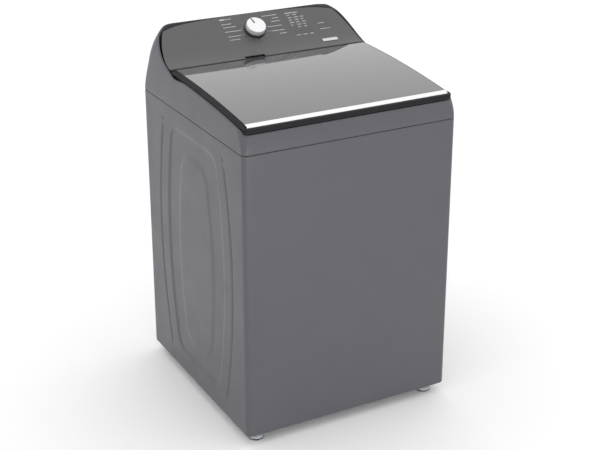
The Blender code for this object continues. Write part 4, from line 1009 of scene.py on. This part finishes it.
# %% [markdown]
# ## The agitator
# The agitator is a polypropylene moulding: a flared skirt with four flexible fins that drag the
# clothes, and a slim post with spiral vanes that pull them down. The fins are swept strips, and the
# vanes are thin ribbons wound round the post.

# %% Agitator post
AG_Z0, AG_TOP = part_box("agitator")[0][2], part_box("agitator")[1][2]
outer_profile = [(0.0, AG_TOP), (0.030, AG_TOP), (0.0392, AG_TOP - 0.0008), (0.0408, AG_TOP - 0.004),
                 (0.0428, 0.700),
                 (0.0450, 0.640), (0.0470, 0.590), (0.0505, 0.545), (0.0560, 0.510), (0.0680, 0.484),
                 (0.0850, 0.463), (0.1150, 0.444), (0.1500, AG_Z0 + 0.0142), (0.1680, AG_Z0 + 0.0080),
                 (0.1735, AG_Z0 + 0.0050),
                 (0.1740, AG_Z0), (0.1690, AG_Z0), (0.146, AG_Z0 + 0.008), (0.080, 0.456), (0.050, 0.490),
                 (0.036, 0.480), (0.034, AG_Z0), (0.0260, AG_Z0), (0.0260, AG_Z0 + 0.020),
                 (0.0, AG_Z0 + 0.020)]
place_piece("agitator_post", turned_mesh("agitator_post", outer_profile, (0, AXIS_Y, 0), steps=96),
            "agitator_body", grey_pp, ("agitator",), sharp_degrees=45)


def post_radius(z):
    """The radius of the skirt and post at a height, where the vanes meet it."""
    return np.interp(z, [AG_Z0, AG_Z0 + 0.0142, 0.463, 0.510, 0.590, 0.700, AG_TOP],
                     [0.174, 0.150, 0.085, 0.056, 0.047, 0.0428, 0.0408])


print("agitator stands", round(AG_TOP - AG_Z0, 3), "m tall")

# %% Fins
fins = []
for number in range(4):
    start, rows = math.pi / 4 + number * math.pi / 2, []
    for share in np.linspace(0.0, 1.0, 17):
        reach = 0.030 + (0.166 - 0.030) * share
        top_z = AG_Z0 + float(np.interp(reach, [0.030, 0.050, 0.075, 0.120, 0.160, 0.166],
                                        [0.236, 0.214, 0.128, 0.072, 0.042, 0.030]))
        angle = start + 0.10 * math.sin(share * math.pi)
        side = Vector((-math.sin(angle), math.cos(angle), 0)) * 0.0028
        centre = Vector((reach * math.cos(angle), AXIS_Y + reach * math.sin(angle), 0))
        low_z = AG_Z0 + 0.004
        ring = []
        for sign, z, slim in ((1, low_z, 1.3), (1, top_z - 0.006, 1.0), (0.5, top_z - 0.001, 0.8),
                              (0, top_z, 0),
                              (-0.5, top_z - 0.001, 0.8), (-1, top_z - 0.006, 1.0), (-1, low_z, 1.3)):
            ring.append(centre + side * sign * max(slim, 0.001) + Vector((0, 0, z)))
        rows.append(ring)
    fins.append(grid_mesh("fin", rows, closed=True, cap_ends=True))
place_piece("agitator_fins", merged_mesh("agitator_fins", fins), "agitator_body", grey_pp, sharp_degrees=60)
print(len(fins), "fins")

# %% Vanes and cap
vanes = []
for number in range(3):
    rows = []
    for share in np.linspace(0.0, 1.0, 49):
        z = 0.585 + 0.190 * share
        angle = number * 2 * math.pi / 3 + 1.25 * math.pi * share
        swell = 0.0150 * math.sin(math.pi * min(max(share, 0.02), 0.98)) ** 0.5
        inner, outer = float(post_radius(z)) - 0.003, float(post_radius(z)) + swell
        rows.append([(r * math.cos(angle), AXIS_Y + r * math.sin(angle), z + dz)
                     for r, dz in ((inner, -0.0030), (outer, -0.0014), (outer + 0.0008, 0.0), (outer, 0.0014),
                                   (inner, 0.0030))])
    vanes.append(grid_mesh("vane", rows, closed=True, cap_ends=True))
place_piece("agitator_vanes", merged_mesh("agitator_vanes", vanes), "agitator_body", grey_pp,
            sharp_degrees=50)
cap = [(0.0, AG_TOP + 0.0220), (0.012, AG_TOP + 0.0216), (0.024, AG_TOP + 0.0198), (0.034, AG_TOP + 0.0160),
       (0.0405, AG_TOP + 0.0100), (0.0420, AG_TOP + 0.0055), (0.0420, AG_TOP + 0.0006),
       (0.0, AG_TOP + 0.0006)]
place_piece("softener_cap", turned_mesh("softener_cap", cap, (0, AXIS_Y, 0), steps=72), "agitator_body",
            blue_pp,
            ("agitator_cap",))
print(len(vanes), "vanes and a softener cap")

# %% [markdown]
# ## The rear
# The rear panel is plain zinc-coated sheet, pressed with one large shallow tray and three level ribs,
# and held by hex screws. A height field gives the pressings here too, as on the sides.

# %% Rear panel
panel_low, panel_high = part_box("rear_panel")
xs, zs = np.linspace(panel_low[0], panel_high[0], 120), np.linspace(panel_low[2], SEAM_Z - 0.0005, 150)
grid_x, grid_z = np.meshgrid(xs, zs)
mid_z = (panel_low[2] + panel_high[2]) / 2
frame_x = np.minimum(grid_x - panel_low[0], panel_high[0] - grid_x) - 0.045
frame_z = np.minimum(grid_z - panel_low[2], panel_high[2] - grid_z) - 0.055
press = 0.0050 * smooth_step(np.minimum(frame_x, frame_z) / 0.014)
for level in (-0.22, 0.0, 0.22):
    press -= 0.0030 * np.exp(-((grid_z - mid_z - level) / 0.012) ** 2) * smooth_step((frame_x - 0.03) / 0.03)
press = np.where(np.minimum(frame_x, frame_z) < 0, 0.0, press)
rows = np.stack([grid_x, panel_high[1] - press, grid_z], axis=-1)
place_piece("rear_sheet", grid_mesh("rear_sheet", rows[:, ::-1]), "machine_body", zinc_plate, ("rear_panel",),
            sharp_degrees=50, thickness=0.0009)
print("rear sheet is", round(panel_high[0] - panel_low[0], 3), "m wide")


# %% Rear screws
def hex_screw(x, y, z, radius=0.0042):
    """A hex washer head screw that faces rearwards."""
    washer = turned_mesh("washer", [(0, 0.0016), (radius + 0.0014, 0.0012), (radius + 0.0018, 0.0002),
                                    (0, 0.0002)],
                         steps=20)
    head = turned_mesh("head", [(0, 0.0046), (radius - 0.0006, 0.0046), (radius, 0.0040), (radius, 0.0008),
                                (0, 0.0008)], steps=6)
    return moved(merged_mesh("screw", [washer, head]),
                 Matrix.Translation((x, y, z)) @ Matrix.Rotation(-math.pi / 2, 4, 'X'))


screws = [hex_screw(sx * (panel_high[0] - 0.0085), panel_high[1] - 0.0004, z)
          for sx in (-1, 1) for z in np.linspace(panel_low[2] + 0.06, panel_high[2] - 0.02, 6)]
place_piece("rear_screws", merged_mesh("rear_screws", screws), "machine_body", zinc_plate)
print(len(screws), "screws at the rear")

# %% [markdown]
# ## Springs
# Each corner's rod passes through a coil spring that carries the tub. The lower end stays with the rod and
# the upper end follows the tub. Here the coil is one fixed piece that rides on no body.

# %% Springs
COIL_TURNS, COIL_R, WIRE_R = 8, 0.0150, 0.0021
for corner in ("front_left", "front_right", "rear_left", "rear_right"):
    spring_low, spring_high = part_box(f"suspension_spring_{corner}")
    cx, cy = (spring_low[0] + spring_high[0]) / 2, (spring_low[1] + spring_high[1]) / 2
    bottom_z, top_z, rows = spring_low[2] + 0.0022, spring_high[2] - 0.0022, []
    for step in range(COIL_TURNS * 20 + 1):
        share = step / (COIL_TURNS * 20)
        angle = 2 * math.pi * COIL_TURNS * share
        z = bottom_z + (top_z - bottom_z) * share
        out, upward = Vector((math.cos(angle), math.sin(angle), 0)), Vector((0, 0, 1))
        centre = Vector((cx, cy, z)) + out * COIL_R
        rows.append([centre + (out * math.cos(t) + upward * math.sin(t)) * WIRE_R
                     for t in np.linspace(0, 2 * math.pi, 8, False)])
    coil = place_piece(f"coil_spring_{corner}", grid_mesh("coil", rows, closed=True, cap_ends=True), None,
                       spring_wire, (f"suspension_spring_{corner}",))
    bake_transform(coil)
print("four springs of", COIL_TURNS, "turns")

# %% [markdown]
# ## The remaining mechanical parts
# The other parts keep their CAD shape, which is right as it is. Each gets the finish that it really
# has, and sharp edges are marked so that flat faces stay flat and round ones turn smooth.

# %% Finishes for the CAD parts
CARRIED = {
    zinc_plate: ["base_frame", "console_back_cover", "lid_hinge_bracket_left", "lid_hinge_bracket_right",
                 "lid_strike",
                 "lid_hinge_pin_left", "lid_hinge_pin_right", "lid_lock_bolt", "drive_shaft", "shaft_bearing",
                 "motor_pulley", "shift_lever", "suspension_rod_front_left", "suspension_rod_front_right",
                 "suspension_rod_rear_left", "suspension_rod_rear_right", "drive_motor"],
    console_abs: ["start_key", "power_key", "option_key_1", "option_key_2", "option_key_3"],
    black_abs: ["lid_lock_housing", "fill_nozzle", "power_cord_gland", "drain_pump", "shift_actuator"],
    grey_pp: ["bleach_dispenser", "drain_outlet", "pump_impeller"],
    white_pp: ["outer_tub", "tub_ring", "water_inlet_valve"],
    cast_aluminium: ["gearcase", "drive_pulley"],
    rubber: ["drive_belt"],
    board_green: ["control_board"],
    badge_silver: ["badge_plate"],
}
for material, names in CARRIED.items():
    for name in names:
        node = nodes[name]
        node.data.materials.clear()
        node.data.materials.append(material)
        node.data.shade_smooth()
        node.data.set_sharp_from_angle(angle=math.radians(32))
print(sum(len(names) for names in CARRIED.values()), "CAD parts carried over")

# %% [markdown]
# ## The floor
# The floor is a wide sheet of matt studio board just under the feet. It is so large that its edge is never
# seen.

# %% Floor
# Matt white board: the eye sees no surface at all, only the machine's soft shadow.
floor_mat = finish("pale_studio_floor", "#fefefe", 0.8, tone=0.01, mottle_mm=800)
floor_mesh = bpy.data.meshes.new("floor")
floor_mesh.from_pydata([(-30, -30, 0), (30, -30, 0), (30, 30, 0), (-30, 30, 0)], [], [(0, 1, 2, 3)])
floor_mesh.materials.append(floor_mat)
floor = bpy.data.objects.new("floor", floor_mesh)
bpy.context.scene.collection.objects.link(floor)
floor.location.z = -0.0005
print("floor is", round(floor_mesh.vertices[1].co.x - floor_mesh.vertices[0].co.x), "m wide")

# %% [markdown]
# ## The last step
# The scene is brought up to date once more. The visual model has to stay inside the CAD model's box.

# %% Bring the scene up to date
bpy.context.view_layer.update()
